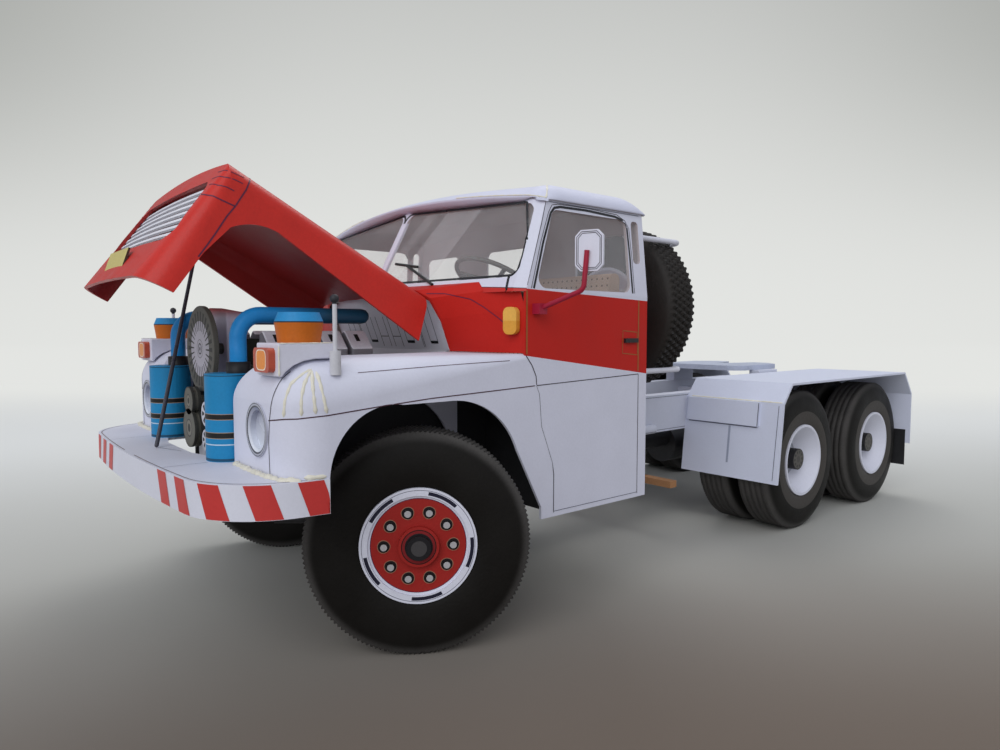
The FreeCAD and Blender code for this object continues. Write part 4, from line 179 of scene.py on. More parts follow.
def eased(value, low, high):
    """0 below low and 1 above high, rising smoothly between."""
    made = node(value.tree, "ShaderNodeMapRange", {"Value": value, "From Min": low, "From Max": high},
                interpolation_type="SMOOTHERSTEP")
    return Tone(value.tree, made.outputs["Result"])


def over(under, upper, mask):
    """One colour laid over another where the mask is 1."""
    made = node(mask.tree, "ShaderNodeMix", {0: mask, 6: under, 7: upper}, data_type="RGBA")
    return Tone(mask.tree, made.outputs[2])


def woven(rows, count, ring=False, tube=False):
    """The faces of points in rows. A ring joins its last row to its first, a tube each row's ends."""
    faces = []
    for row in range(rows if ring else rows - 1):
        here, there = row * count, (row + 1) % rows * count
        for place in range(count if tube else count - 1):
            ahead = (place + 1) % count
            faces.append((here + place, here + ahead, there + ahead, there + place))
    return faces


profile = [(-sweep_half, 0.0)]
for step in range(sweep_steps + 1):
    turn = math.radians(90.0 * step / sweep_steps)
    profile.append((sweep_half - sweep_round * (1 - math.sin(turn)), sweep_round * (1 - math.cos(turn))))
profile.append((sweep_half, sweep_rise))
away = Vector((-math.sin(math.radians(view_turn)), math.cos(math.radians(view_turn)), 0.0))
aside = Vector((away.y, -away.x, 0.0))
sweep_verts = [away * run + aside * side + Vector((0, 0, rise))
               for run, rise in profile for side in (-sweep_wide, sweep_wide)]
sweep = mesh_object("paper_sweep", sweep_verts, woven(len(profile), 2))
finish, tree, shader = new_finish("table_paper")
where = node(tree, "ShaderNodeNewGeometry").outputs["Position"]
distance = dot(tree, where, away) + (noise(tree, where, 9.0) - 0.5) * 0.02
sideways = dot(tree, where, aside)
height = dot(tree, where, (0.0, 0.0, 1.0))
slid = distance - sideways * shade_lean + abs(sideways).done("MINIMUM", 0.4) * shade_bend
# painted shade: the floor is darkened near the camera and under the model
shade = over(near_shade, middle_shade, eased(slid, -0.11, 0.03))
shade = over(shade, far_shade, eased(slid, -0.06, 0.26))
shade = over(shade, far_shade, eased(distance * -1.0, 0.13, 0.34))
# painted shade: the wall darkens towards its top
shade = over(shade, high_shade, eased(height, -0.3, 2.8))
# painted shade: floor and wall darken towards the far corners
corner_shade_share = eased(abs(sideways), 0.3, 3.6) * (eased(height, 0.0, 1.9) + 0.12)
shade = over(shade, side_shade, corner_shade_share * side_dimming)
fill(tree, shader, {"Base Color": shade, "Roughness": 0.7, "Specular IOR Level": 0.2})
glow = node(tree, "ShaderNodeEmission", {"Color": shade})
seen = node(tree, "ShaderNodeLightPath").outputs["Is Camera Ray"]
blend = node(tree, "ShaderNodeMixShader", {0: eased(distance, 0.10, 0.45) * seen, 1: shader.outputs[0],
                                           2: glow.outputs[0]})
fill(tree, tree.nodes["Material Output"], {"Surface": blend.outputs[0]})
sweep.data.materials.append(finish)

# The window light
# A broad pale window ahead of the model, a weaker one high behind it and an even pale room.
world = bpy.data.worlds.new("room")
bpy.context.scene.world = world
world.use_nodes = True
sky = world.node_tree.nodes["Background"]
sky.inputs["Color"].default_value = (0.90, 0.93, 1.0, 1.0)
sky.inputs["Strength"].default_value = 0.62


def window_light(name, place, aim, size, power, colour):
    data = bpy.data.lights.new(name, "AREA")
    data.energy = power
    data.size = size
    data.color = colour
    lamp = bpy.data.objects.new(name, data)
    lamp.location = Vector(place)
    lamp.rotation_euler = (Vector(aim) - Vector(place)).to_track_quat("-Z", "Y").to_euler()
    bpy.context.scene.collection.objects.link(lamp)


window_light("window", (-0.35, 0.55, 1.05), (0, 0, 0.03), 0.75, 3.6, (1.0, 0.99, 0.97))
window_light("near_window", (0.52, -0.88, 0.66), (0, 0, 0.03), 0.9, 6.0, (0.97, 0.98, 1.0))

# Printed card
# Every sheet of the model is matt card printed by a home printer: fibres show in the
# white, the ink is mottled, and the surface has the faint tooth of paper.
paper_print = bpy.data.node_groups.new("paper_print", "ShaderNodeTree")
for way, kind, words in (("INPUT", "Color", ("Ink",)), ("INPUT", "Float", ("Mottle", "Gloss")),
                         ("OUTPUT", "Color", ("Colour",)), ("OUTPUT", "Float", ("Roughness", "Height"))):
    for word in words:
        paper_print.interface.new_socket(word, in_out=way, socket_type="NodeSocket" + kind)
entry = node(paper_print, "NodeGroupInput").outputs
coords = node(paper_print, "ShaderNodeTexCoord").outputs["Object"]
fibre = noise(paper_print, coords, 2600.0, 3.0)
drift = noise(paper_print, coords, 190.0, 4.0) - 0.5
grain = node(paper_print, "ShaderNodeTexVoronoi", {"Vector": coords, "Scale": 1900.0})
change = (fibre - 0.5) * 0.9 + drift
toned = node(paper_print, "ShaderNodeVectorMath", {0: entry["Ink"], "Scale": change * entry["Mottle"] + 1.0},
             operation="SCALE")
node(paper_print, "NodeGroupOutput", {
    "Colour": toned.outputs[0], "Roughness": drift * 0.35 + entry["Gloss"],
    "Height": Tone(paper_print, grain.outputs[0]) * 0.4 + fibre})


class Spot:
    """Where a point of a piece lies, in millimetres, and which way it faces there."""

    def __init__(self, tree):
        self.tree = tree
        coords = node(tree, "ShaderNodeTexCoord").outputs
        self.normal = coords["Normal"]
        scaled = node(tree, "ShaderNodeVectorMath", {0: coords["Object"], "Scale": 1 / mm}, operation="SCALE")
        self.place = scaled.outputs[0]
        split = node(tree, "ShaderNodeSeparateXYZ", {0: self.place})
        self.x, self.y, self.z = (Tone(tree, socket) for socket in split.outputs)

    def facing(self, direction):
        return dot(self.tree, self.normal, direction)

    def away_from(self, middle):
        return arrow(self.tree, "SUBTRACT", self.place, middle)

    def inside(self, middle):
        """1 where the card faces the middle of what it encloses."""
        return dot(self.tree, self.away_from(middle), self.normal) < 0.0

    def radius(self, middle, out):
        """The distance from an axle through the middle, out being its direction."""
        across = arrow(self.tree, "CROSS_PRODUCT", self.away_from(middle), out)
        size = node(self.tree, "ShaderNodeVectorMath", {0: across}, operation="LENGTH")
        return Tone(self.tree, size.outputs["Value"])

    def turn(self, middle, out, start=0.0):
        """The share of a turn about the axle, from straight up."""
        up = Vector((0.0, 0.0, 1.0))
        away = self.away_from(middle)
        angle = dot(self.tree, away, up.cross(out).normalized()).done("ARCTAN2", dot(self.tree, away, up))
        return angle / (2 * math.pi) + (1.0 - start / (2 * math.pi))


def printed(name, ink, mottle=0.12, gloss=0.55, tooth=0.12, paint=None, specular=0.35):
    """A card material. paint takes the spot and the ink and returns the printed colour."""
    finish, tree, shader = new_finish(name)
    colour = ink if paint is None else paint(Spot(tree), ink)
    sheet = node(tree, "ShaderNodeGroup", node_tree=paper_print)
    fill(tree, sheet, {"Ink": colour, "Mottle": mottle, "Gloss": gloss})
    height = sheet.outputs["Height"]
    bump = node(tree, "ShaderNodeBump", {"Strength": tooth, "Distance": 0.1 * mm, "Height": height})
    fill(tree, shader, {"Base Color": sheet.outputs["Colour"], "Roughness": sheet.outputs["Roughness"],
                        "Specular IOR Level": specular, "Normal": bump.outputs[0]})
    return finish


def dress(finish, *names):
    for name in names:
        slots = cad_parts[name].data.materials
        if not slots:
            slots.append(finish)
        for place in range(len(slots)):
            slots[place] = finish


def settled(piece, body, finish=None):
    if finish is not None:
        piece.data.materials.append(finish)
    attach(piece, body)
    return piece


skins = {}


def skin(name):
    if name not in skins:
        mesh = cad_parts[name].data
        skins[name] = BVHTree.FromPolygons([v.co for v in mesh.vertices], [p.vertices for p in mesh.polygons])
    return skins[name]


def laid_points(name, points, toward, pitch=0.6):
    """Points in millimetres, laid on a node along a direction, with the skin's outward normals."""
    toward = Vector(toward).normalized()
    spots = []
    for start, end in zip(points, points[1:]):
        start, end = Vector(start), Vector(end)
        count = max(1, round((end - start).length / pitch))
        spots += [start.lerp(end, step / count) for step in range(count)]
    spots.append(Vector(points[-1]))
    laid = []
    for spot in spots:
        place, normal, _, _ = skin(name).ray_cast(spot * mm - toward * 0.03, toward)
        if place is None:
            place, normal, _, _ = skin(name).find_nearest(spot * mm)
        if normal.dot(toward) > 0:
            normal = -normal
        laid.append((place, normal))
    return laid


ink_lift = 0.04


def ink_line(title, name, points, toward, width, finish, slot="body_white", body="root", closed=False):
    """A printed line: a ribbon of ink a hair above a node's skin."""
    laid = laid_points(name, points + [points[0]] if closed else points, toward)
    verts = []
    for step, (place, normal) in enumerate(laid):
        ahead = laid[min(step + 1, len(laid) - 1)][0] - laid[max(step - 1, 0)][0]
        if closed and step in (0, len(laid) - 1):
            ahead = laid[1][0] - laid[-2][0]
        side = normal.cross(ahead).normalized() * (width * mm / 2)
        base = place + normal * (ink_lift * mm)
        verts += [base - side, base + side]
    return settled(mesh_object(title, verts, woven(len(laid), 2)), body, finish)


def ink_patch(title, name, rows, finish):
    """A printed patch: rows of (point, direction) laid on a node's skin as one sheet of ink."""
    verts = []
    for row in rows:
        for point, toward in row:
            place, normal = laid_points(name, [point], toward)[0]
            verts.append(place + normal * (ink_lift * mm))
    return settled(mesh_object(title, verts, woven(len(rows), len(rows[0]))), "root", finish)


def glue_over(title, laid, width, rise, slot="body_white"):
    """A dried bead of glue over places and normals: a low rounded ridge, uneven in width."""
    verts = []
    for step, (place, normal) in enumerate(laid):
        ahead = laid[min(step + 1, len(laid) - 1)][0] - laid[max(step - 1, 0)][0]
        side = normal.cross(ahead).normalized()
        swell = 1.0 + 0.22 * math.sin(step * 1.7) + 0.15 * math.sin(step * 0.63 + 1.0)
        if step in (0, len(laid) - 1):
            swell = 0.35
        for turn in range(5):
            angle = math.pi * turn / 4
            out = side * (-math.cos(angle) * width / 2) + normal * (math.sin(angle) * rise)
            verts.append(place + normal * (0.01 * mm) + out * (swell * mm))
    return settled(mesh_object(title, verts, woven(len(laid), 5)), "root", glue_finish)


def faced(points, side):
    """Points of the left side, or the same mirrored to the right."""
    return [(side * x, y, z) for x, y, z in points]


def lay(rows):
    """Ink and glue of both sides, given for the left. A number in place of an ink is a bead's rise."""
    for hand, side in sides:
        for name, under, points, toward, width, finish, *home in rows:
            points, toward = faced(points, side), faced([toward], side)[0]
            if isinstance(finish, float):
                glue_over(name % hand, laid_points(under, points, toward, 0.4), width, finish, *home)
            else:
                ink_line(name % hand, under, points, toward, width, finish, *home)


sides = (("left", 1), ("right", -1))
card_white = (0.69, 0.70, 0.80)
card_cream = (0.72, 0.69, 0.58)
glue_finish = printed("dried_glue", card_cream, 0.20, 0.4, 0.3)

# Tyres
# Rolled strips of dark card round a smooth ring sidewall. The tread is cut into rows of
# small staggered blocks, finer on the wheels than on the spare.
tyre_black = (0.0095, 0.0085, 0.0075)
tread_black = (0.070, 0.066, 0.063)
bead_brown = (0.060, 0.054, 0.049)
tyre_radius = 17.0
tyre_half = 4.6
tread_half = 3.5
groove_depth = 0.42
bead_radius = 8.75
tread_pitches = 78
fine_pitches = 144
fine_depth = 0.34
tread_rows = 5
steered = math.radians(32.0)
up = Vector((0.0, 0.0, 1.0))


def tyre_section():
    """Half-width places across the tyre: run along the axle, radius, and the row of blocks there."""
    points = [(-tyre_half + 0.35, bead_radius, None), (-tyre_half, bead_radius + 0.9, None),
              (-tyre_half, 12.4, None), (-tyre_half + 0.12, 14.2, None),
              (-tyre_half + 0.5, 15.5, None), (-tread_half - 0.25, 16.35, None)]
    row_pitch = 2 * tread_half / tread_rows
    for row in range(tread_rows):
        start = -tread_half + row * row_pitch
        points += [(start + 0.10, tyre_radius - groove_depth, None), (start + 0.16, tyre_radius, row),
                   (start + row_pitch - 0.16, tyre_radius, row),
                   (start + row_pitch - 0.10, tyre_radius - groove_depth, None)]
    return points + [(-run, radius, None) for run, radius, _ in reversed(points[:6])]


def tyre_grid(middle, out, fine=True):
    """Vertices and faces of one tyre about a middle point, out being its axle's direction."""
    section = tyre_section()
    ahead = up.cross(out).normalized()
    steps = fine_pitches * 2 if fine else tread_pitches * 4
    depth = fine_depth if fine else groove_depth
    verts = []
    for turn in range(steps):
        angle = 2 * math.pi * turn / steps
        spoke = up * math.cos(angle) + ahead * math.sin(angle)
        for run, radius, row in section:
            if row is not None and ((turn + row) % 2 if fine else (turn + 2 * (row % 2)) % 4 in (0, 1)):
                radius -= depth
            verts.append((middle + out * run + spoke * radius) * mm)
    return verts, woven(steps, len(section), ring=True)


def ringed(ink, radius, bands):
    """Paint by distance from an axle: bands of (outer radius, ink), the innermost first."""
    for reach, band_ink in reversed(bands):
        ink = over(ink, band_ink, radius < reach)
    return ink


def tyre_paint(middle, out, bead_ink, bead_reach=1.7):
    def paint(spot, ink):
        radius = spot.radius(middle, out)
        worn = over(ink, tread_black, eased(radius, 15.0, 16.9))
        return ringed(worn, radius, [(bead_radius + bead_reach, bead_ink)])
    return paint


def settled_tyre(piece, node_name, body, middle, out, bead):
    place = piece.name.split("_", 2)[2]
    finish = printed("tyre_card_" + place, tyre_black, 0.5, 0.5, 0.35, tyre_paint(middle, out, *bead), 0.12)
    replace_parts(settled(piece, body, finish), node_name)
    hubs[place] = (middle, out)


hubs = {}
for hand, side in sides:
    place = "front_" + hand
    low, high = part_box("tyre_" + place)
    out = Vector((math.cos(steered), -math.sin(steered), 0.0)) * side
    middle = (low + high) / (2 * mm)
    piece = mesh_object("tyre_ring_" + place, *tyre_grid(middle, out))
    settled_tyre(piece, "tyre_" + place, "front_wheel_" + hand, middle, out, (tyre_black,))
for axle in ("one", "two"):
    for hand, side in sides:
        place = axle + "_" + hand
        low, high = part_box("twin_tyres_" + place)
        axle_y = (low.y + high.y) / (2 * mm)
        reaches = (abs(low.x) / mm, abs(high.x) / mm)
        out = Vector((side, 0.0, 0.0))
        verts, faces = [], []
        for run in (max(reaches) - tyre_half, min(reaches) + tyre_half):
            more_verts, more_faces = tyre_grid(Vector((side * run, axle_y, tyre_radius)), out)
            faces += [tuple(vertex + len(verts) for vertex in face) for face in more_faces]
            verts += more_verts
        middle = Vector((side * (max(reaches) - tyre_half), axle_y, tyre_radius))
        piece = mesh_object("tyre_rings_" + place, verts, faces)
        settled_tyre(piece, "twin_tyres_" + place, "twin_" + place, middle, out, (bead_brown, 3.2))

# Front wheels
# A white card ring printed with five hand holes, glued round a flat red disc with ten
# steel-grey nuts, each in a black printed ring, and a black hub in a dark red collar.
front_red = (0.34, 0.022, 0.018)
collar_red = (0.22, 0.018, 0.020)
seam_purple = (0.10, 0.016, 0.050)
nut_circle = 5.1
nut_count = 10
nut_rings = ((0.98, (0.33, 0.16, 0.10)), (0.88, (0.015, 0.013, 0.014)), (0.50, (0.42, 0.41, 0.42)))


def front_wheel_paint(middle, out, start):
    def paint(spot, ink):
        radius = spot.radius(middle, out)
        colour = ringed(ink, radius, [
            (1.15, (0.060, 0.056, 0.058)), (2.05, (0.016, 0.015, 0.017)), (2.45, collar_red),
            (2.60, (0.03, 0.01, 0.01)), (7.00, front_red), (7.12, seam_purple), (8.28, card_white),
            (8.38, (0.20, 0.20, 0.26))])
        hole = (spot.turn(middle, out) * 5.0).done("FRACT").within(0.15, 0.61) * radius.within(7.66, 8.20)
        colour = over(colour, (0.018, 0.018, 0.035), hole)
        swing = (spot.turn(middle, out, start) * nut_count + 0.5).done("FRACT") - 0.5
        across = swing * (2 * math.pi * nut_circle / nut_count)
        outward = radius - nut_circle
        apart = (across * across + outward * outward).done("SQRT")
        for reach, ring_ink in nut_rings:
            colour = over(colour, ring_ink, apart < reach)
        return colour
    return paint


for hand, side in sides:
    middle, out = hubs["front_" + hand]
    ahead = up.cross(out).normalized()
    lean_x, lean_y = 0.0, 0.0
    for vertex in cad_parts["wheel_front_" + hand].data.vertices:
        away = vertex.co / mm - middle
        reach = away.cross(out).length
        if nut_circle - 0.7 < reach < nut_circle + 0.7 and away.dot(out) > 2.0:
            angle = nut_count * math.atan2(away.dot(ahead), away.dot(up))
            lean_x += math.cos(angle)
            lean_y += math.sin(angle)
    start = math.atan2(lean_y, lean_x) / nut_count
    dress(printed("front_wheel_card_" + hand, card_white, 0.15, 0.45, 0.15,
                  front_wheel_paint(middle, out, start), 0.15), "wheel_front_" + hand)

# Twin rear wheels
# Deep white card dishes with a black hub tube, its end printed with a ring of nuts, and
# one black hole in the dish.


def dish_paint(middle, out):
    def paint(spot, ink):
        radius = spot.radius(middle, out)
        turn = spot.turn(middle, out)
        colour = ringed(ink, radius, [(2.35, (0.095, 0.088, 0.078)), (2.75, (0.016, 0.015, 0.016)),
                                      (4.45, (0.40, 0.42, 0.48))])
        nuts = (turn * 10.0).done("FRACT").within(0.25, 0.75) * radius.within(1.45, 2.1)
        colour = over(colour, (0.030, 0.028, 0.026), nuts)
        colour = over(colour, (0.06, 0.055, 0.05), radius < 0.8)
        hole = radius.within(5.0, 6.4) * turn.done("FRACT").within(0.915, 0.96)
        return over(colour, (0.014, 0.014, 0.016), hole)
    return paint


for place, (middle, out) in hubs.items():
    if not place.startswith("front"):
        dress(printed("dish_card_" + place, card_white, 0.10, 0.55, 0.12, dish_paint(middle, out)),
              "twin_wheel_" + place)

# Axles, knuckles and backbone tube
# Tubes rolled from card printed black all over.
axle_finish = printed("axle_black_card", (0.028, 0.028, 0.031), 0.5, 0.45, 0.2)
dress(axle_finish, "backbone_tube", "half_axles", "steering_knuckle_left", "steering_knuckle_right")

# Chassis frame and lower crossbar
# White card channels with a printed shade line along each flange, a rolled side pipe, and
# a strip of bare brown card hung across below the tube.
frame_finish = printed("frame_card", (0.62, 0.64, 0.74), 0.10, 0.6, 0.10)
dress(frame_finish, "chassis_frame", "fifth_wheel_pedestals")
dress(printed("bare_brown_card", (0.44, 0.22, 0.10), 0.25, 0.6, 0.25), "lower_crossbar")
line_grey = printed("printed_line_grey", (0.16, 0.17, 0.22), 0.3, 0.5, 0.05)
lay([("rail_line_%%s_%d" % number, "chassis_frame", [(17.0, -18.0, height), (17.0, 94.0, height)], (-1, 0, 0),
      0.14, line_grey, "frame_white") for number, height in enumerate((32.5, 24.5))])

# Bumper
# A folded white channel whose ends are printed with slanted red stripes. Its top has printed
# fold lines, and dried glue squeezed out where the fenders stand.
stripe_red = (0.56, 0.040, 0.036)
stripe_width = 3.4
stripe_pitch = 6.65
stripe_lean = 1.5
bumper_top = 29.6
bumper_low = 25.0
corner_middle = Vector((25.14, -85.02))
corner_radius = 12.68
side_run = 3.83
corner_run = 17.78
corner_start = math.radians(-8.07)
corner_end = math.radians(-88.4)
front_half = 25.5
front_y = -98.7


def bumper_edge(run):
    """A point on the bumper's outline, so far from its rear end, and the way in to the card."""
    if run < side_run:
        share = run / side_run
        return Vector((38.2 - 0.5 * share, -83.0 - 3.8 * share, 0.0)), Vector((-1.0, 0.1, 0.0))
    turn = corner_start - (run - side_run) / corner_radius
    if turn > corner_end:
        out = Vector((math.cos(turn), math.sin(turn)))
        return (corner_middle + out * corner_radius).to_3d(), -out.to_3d()
    x = front_half - (run - side_run - corner_run)
    return Vector((x, front_y + (x / front_half) ** 2, 0.0)), Vector((0.0, 1.0, 0.0))


dress(printed("bumper_card", (0.70, 0.71, 0.80), 0.10, 0.55, 0.10), "bumper")
stripe_finish = printed("stripe_red_print", stripe_red, 0.15, 0.45, 0.08)
for hand, side, count in (("left", 1, 5), ("right", -1, 6)):
    for number in range(count):
        start = 0.8 + stripe_pitch * number
        rows = []
        for step in range(6):
            height = bumper_low + 0.06 + (bumper_top - bumper_low - 0.14) * step / 5
            back = stripe_lean * (1 - step / 5)
            row = []
            for place in range(9):
                point, toward = bumper_edge(max(0.06, start - back + stripe_width * place / 8))
                row.append(((side * point.x, point.y, height), (side * toward.x, toward.y, 0.0)))
            rows.append(row)
        ink_patch("bumper_stripe_%s_%d" % (hand, number), "bumper", rows, stripe_finish)
seam_black = printed("printed_line_black", (0.030, 0.022, 0.032), 0.3, 0.45, 0.05)
edge_brown = printed("fold_line_brown", (0.14, 0.085, 0.075), 0.4, 0.5, 0.05)
edge_run = [bumper_edge(2.0 + 1.5 * step)[0] for step in range(30)]
edge_run = [(point.x * 0.988, point.y + 0.45, 30) for point in edge_run if point.x > 2.0]
glue_run = [(20.5, -88.9, 30), (27.0, -89.1, 30), (32.0, -89.0, 30), (35.6, -88.5, 30), (37.4, -86.6, 30)]
bay_corner = [(16.5, -97.6, 30), (16.5, -91.4, 30)]
down = (0, 0, -1)
lay([("bumper_fold_%s", "bumper", edge_run, down, 0.13, edge_brown, "bumper_white"),
     ("bay_corner_line_%s", "bumper", bay_corner, down, 0.10, line_grey, "bumper_white"),
     ("bumper_glue_%s", "bumper", glue_run, down, 0.9, 0.42, "bumper_white"),
     ("fender_glue_%s", "front_fenders", [(38.2, -86.0, 29.9), (38.2, -83.4, 29.9)], (-1, 0, 0), 0.6, 0.25)])
foot_line = [(-1.5, -93.4, 30), (4.0, -91.6, 30)]
ink_line("stay_foot_line", "bumper", foot_line, down, 0.12, line_grey, "bumper_white")

# Front fenders and wheel housings
# White card domes slit and glued shut at the front corners, so cream ribs of glue show,
# with the printed seam of the fender's top and the joint beside each headlight.
seam_maroon = printed("printed_line_maroon", (0.060, 0.018, 0.030), 0.4, 0.45, 0.05)
body_white = (0.66, 0.67, 0.78)
dress(printed("body_card", body_white, 0.09, 0.58, 0.10), "front_fenders")
dress(printed("dark_lining_card", (0.022, 0.022, 0.025), 0.4, 0.6, 0.25), "wheel_housings")
fender_seam = [(32.0, -88.5, 37.0), (35.1, -87.7, 37.4), (36.6, -86.6, 37.5), (38.0, -83.1, 37.8),
               (38.0, -75.7, 38.4), (38.0, -67.0, 39.0), (38.0, -56.3, 39.4), (38.0, -46.2, 39.8)]
corner_seam = [(32.1, -88.5, 29.9), (31.9, -88.5, 34.1), (32.3, -88.5, 37.1), (32.9, -88.4, 39.2),
               (33.3, -88.0, 41.2), (33.4, -87.2, 42.5), (33.8, -86.2, 43.4)]
fender_ribs = [
    [(35.1, -87.8, 37.7), (35.2, -87.6, 39.8), (35.2, -86.8, 41.9), (35.4, -85.0, 43.3), (35.4, -84.0, 43.7)],
    [(36.9, -86.2, 37.9), (36.8, -86.1, 40.1), (36.4, -85.5, 41.9), (35.5, -84.1, 43.6)],
    [(37.7, -84.6, 38.1), (37.5, -84.7, 40.1), (36.9, -84.6, 41.9), (35.6, -84.0, 43.5)],
    [(38.0, -83.2, 38.1), (37.8, -83.5, 40.1), (37.0, -83.6, 42.0), (35.9, -83.6, 43.4)]]
fender_crease = [(37.2, -78.0, 43.2), (37.4, -66.0, 43.6), (37.6, -52.0, 43.9)]
ribs = [("fender_rib_%%s_%d" % number, "front_fenders", rib, (-0.75, 0.55, -0.35), 0.42, 0.13)
        for number, rib in enumerate(fender_ribs)]
lay([("fender_seam_%s", "front_fenders", fender_seam, (-0.85, 0.5, -0.1), 0.16, seam_maroon),
     ("corner_seam_%s", "front_fenders", corner_seam, (-0.3, 0.9, -0.3), 0.16, seam_black), *ribs,
     ("fender_crease_%s", "front_fenders", fender_crease, (-1, 0, -0.3), 0.10, seam_maroon)])

# Headlights
# A silver printed glass sunk in a tube of card, with a fine dark rim printed twice.
low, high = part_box("headlights")
headlight_radius = 3.7
headlight_x = max(abs(low.x), abs(high.x)) / mm - headlight_radius
headlight_z = (low.z + high.z) / (2 * mm)


def headlight_paint(spot, ink):
    wide = abs(spot.x) - headlight_x
    tall = spot.z - headlight_z
    radius = (wide * wide + tall * tall).done("SQRT")
    glass = over((0.30, 0.31, 0.40), (0.74, 0.78, 0.86), tall / -6.0 + 0.5)
    colour = ringed(ink, radius, [(3.28, (0.045, 0.045, 0.06)), (3.50, (0.42, 0.43, 0.50)),
                                  (3.62, (0.05, 0.05, 0.07))])
    return over(colour, glass, radius < 3.04)


dress(printed("headlight_card", (0.46, 0.47, 0.55), 0.06, 0.28, 0.05, headlight_paint, 0.6), "headlights")

# Lamps and filter bowls on the lamp boxes
# Folded white boxes with amber lamp glasses edged red and a white line. The bowls are
# orange card cones under flat blue lids edged black.
lamp_amber = (0.82, 0.26, 0.015)
lamp_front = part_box("amber_lamps")[0].y / mm + 0.35
turn_lamp_x = 30.75
turn_lamp_z = 44.9
edge_reach = 1.66
glass_reach = 1.48
side_lamp_foot = 47.6
side_lamp_middle = 50.3


def lamp_paint(spot, ink):
    wide = abs(abs(spot.x) - turn_lamp_x)
    tall = abs(spot.z - turn_lamp_z) * 1.2
    reach = (wide.done("POWER", 4.0) + tall.done("POWER", 4.0)).done("POWER", 0.25)
    front = spot.y < lamp_front
    colour = over((0.46, 0.070, 0.030), (0.86, 0.74, 0.60), front * (reach < edge_reach))
    colour = over(colour, lamp_amber, front * (reach < glass_reach))
    side_lamp = over((0.72, 0.34, 0.04), (0.80, 0.44, 0.08), spot.z > side_lamp_middle)
    return over(colour, side_lamp, spot.z > side_lamp_foot)


dress(printed("lamp_amber_card", lamp_amber, 0.25, 0.35, 0.35, lamp_paint, 0.5), "amber_lamps")


def prism(name, outline, shift, bevel, finish):
    """A folded card box: an outline of points drawn along a shift, its folds eased."""
    count = len(outline)
    verts = [(Vector(point) + Vector(move)) * mm for move in ((0, 0, 0), shift) for point in outline]
    faces = [tuple(range(count)), tuple(reversed(range(count, 2 * count)))]
    for place in range(count):
        ahead = (place + 1) % count
        faces.append((place, place + count, ahead + count, ahead))
    piece = mesh_object(name, verts, faces, False)
    fold = piece.modifiers.new("folds", "BEVEL")
    fold.width = bevel * mm
    fold.segments = 3
    fold.limit_method = "ANGLE"
    fold.angle_limit = math.radians(40)
    return settled(piece, "root", finish)


box_inner = 27.0
box_outer = 34.5
box_front = -88.0
box_rear = -79.7
box_top = 47.1
box_side = [(box_front, 42.75), (box_front, box_top), (box_rear, box_top), (box_rear, 45.02), (-83.0, 45.0),
            (-84.6, 44.75), (-86.0, 44.2), (-87.1, 43.4), (-87.6, 42.75)]
box_finish = printed("lamp_box_card", (0.67, 0.67, 0.77), 0.1, 0.58, 0.12)
for hand, side in sides:
    piece = prism("lamp_box_" + hand, [(side * box_inner, y, z) for y, z in box_side],
                  (side * (box_outer - box_inner), 0, 0), 0.22, box_finish)
    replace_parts(piece, "lamp_boxes")
    corner = [(Vector((side * box_outer, box_front, 42.9 + 0.35 * step)) * mm, Vector((side * 0.7, -0.7, 0)))
              for step in range(12)]
    glue_over("lamp_box_glue_" + hand, corner, 0.24, 0.07)
    rim = [(Vector((side * (box_outer - 0.02), box_front + 0.4 * step, box_top)) * mm,
            Vector((side * 0.7, 0, 0.7))) for step in range(20)]
    glue_over("lamp_box_rim_" + hand, rim, 0.16, 0.05)
bowl_orange = (0.52, 0.122, 0.004)
filter_blue = (0.014, 0.235, 0.52)
bowl_seam_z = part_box("filter_bowls")[1].z / mm - 1.3


def bowl_paint(spot, ink):
    colour = over(ink, filter_blue, spot.z > bowl_seam_z)
    return over(colour, (0.012, 0.020, 0.030), spot.z.within(bowl_seam_z - 0.09, bowl_seam_z + 0.09))


dress(printed("filter_bowl_card", bowl_orange, 0.25, 0.5, 0.25, bowl_paint), "filter_bowls")

# Marker poles
# White-painted wire in a rolled foot, with a black bead on top.
pole_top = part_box("marker_poles")[1].z / mm - 1.3


def pole_paint(spot, ink):
    return over(ink, (0.022, 0.022, 0.028), spot.z > pole_top)


dress(printed("pole_card", (0.56, 0.56, 0.60), 0.2, 0.5, 0.2, pole_paint), "marker_poles")

# Cab shell
# One folded white card shell, printed red round the belt and brown-grey inside, its window
# openings edged with a black gasket line and a finer line outside it.
cab_red = (0.52, 0.020, 0.014)
lining_brown = (0.50, 0.44, 0.45)
cab_middle = Vector((0.0, -33.0, 56.0))
band_top = (55.42, 54.2)
band_low = (44.72, 40.65)
band_ends = (-48.8, -18.0)
screen_sill = 56.6
sill_drop = 1.2
cowl_half = 38.0


def edge_height(spot, heights):
    slope = (heights[1] - heights[0]) / (band_ends[1] - band_ends[0])
    return (spot.y - band_ends[0]) * slope + heights[0]


def cab_paint(spot, ink):
    band = (spot.z < edge_height(spot, band_top)) * (spot.z > edge_height(spot, band_low))
    return over(over(ink, cab_red, band), lining_brown, spot.inside(cab_middle))


def frame_paint(spot, ink):
    wide = spot.x / cowl_half
    drop = spot.z - (screen_sill - wide * wide * sill_drop)
    colour = over(ink, (0.030, 0.022, 0.032), drop < 0.12)
    colour = over(colour, cab_red, drop < 0.0)
    return over(colour, lining_brown, spot.inside(cab_middle))


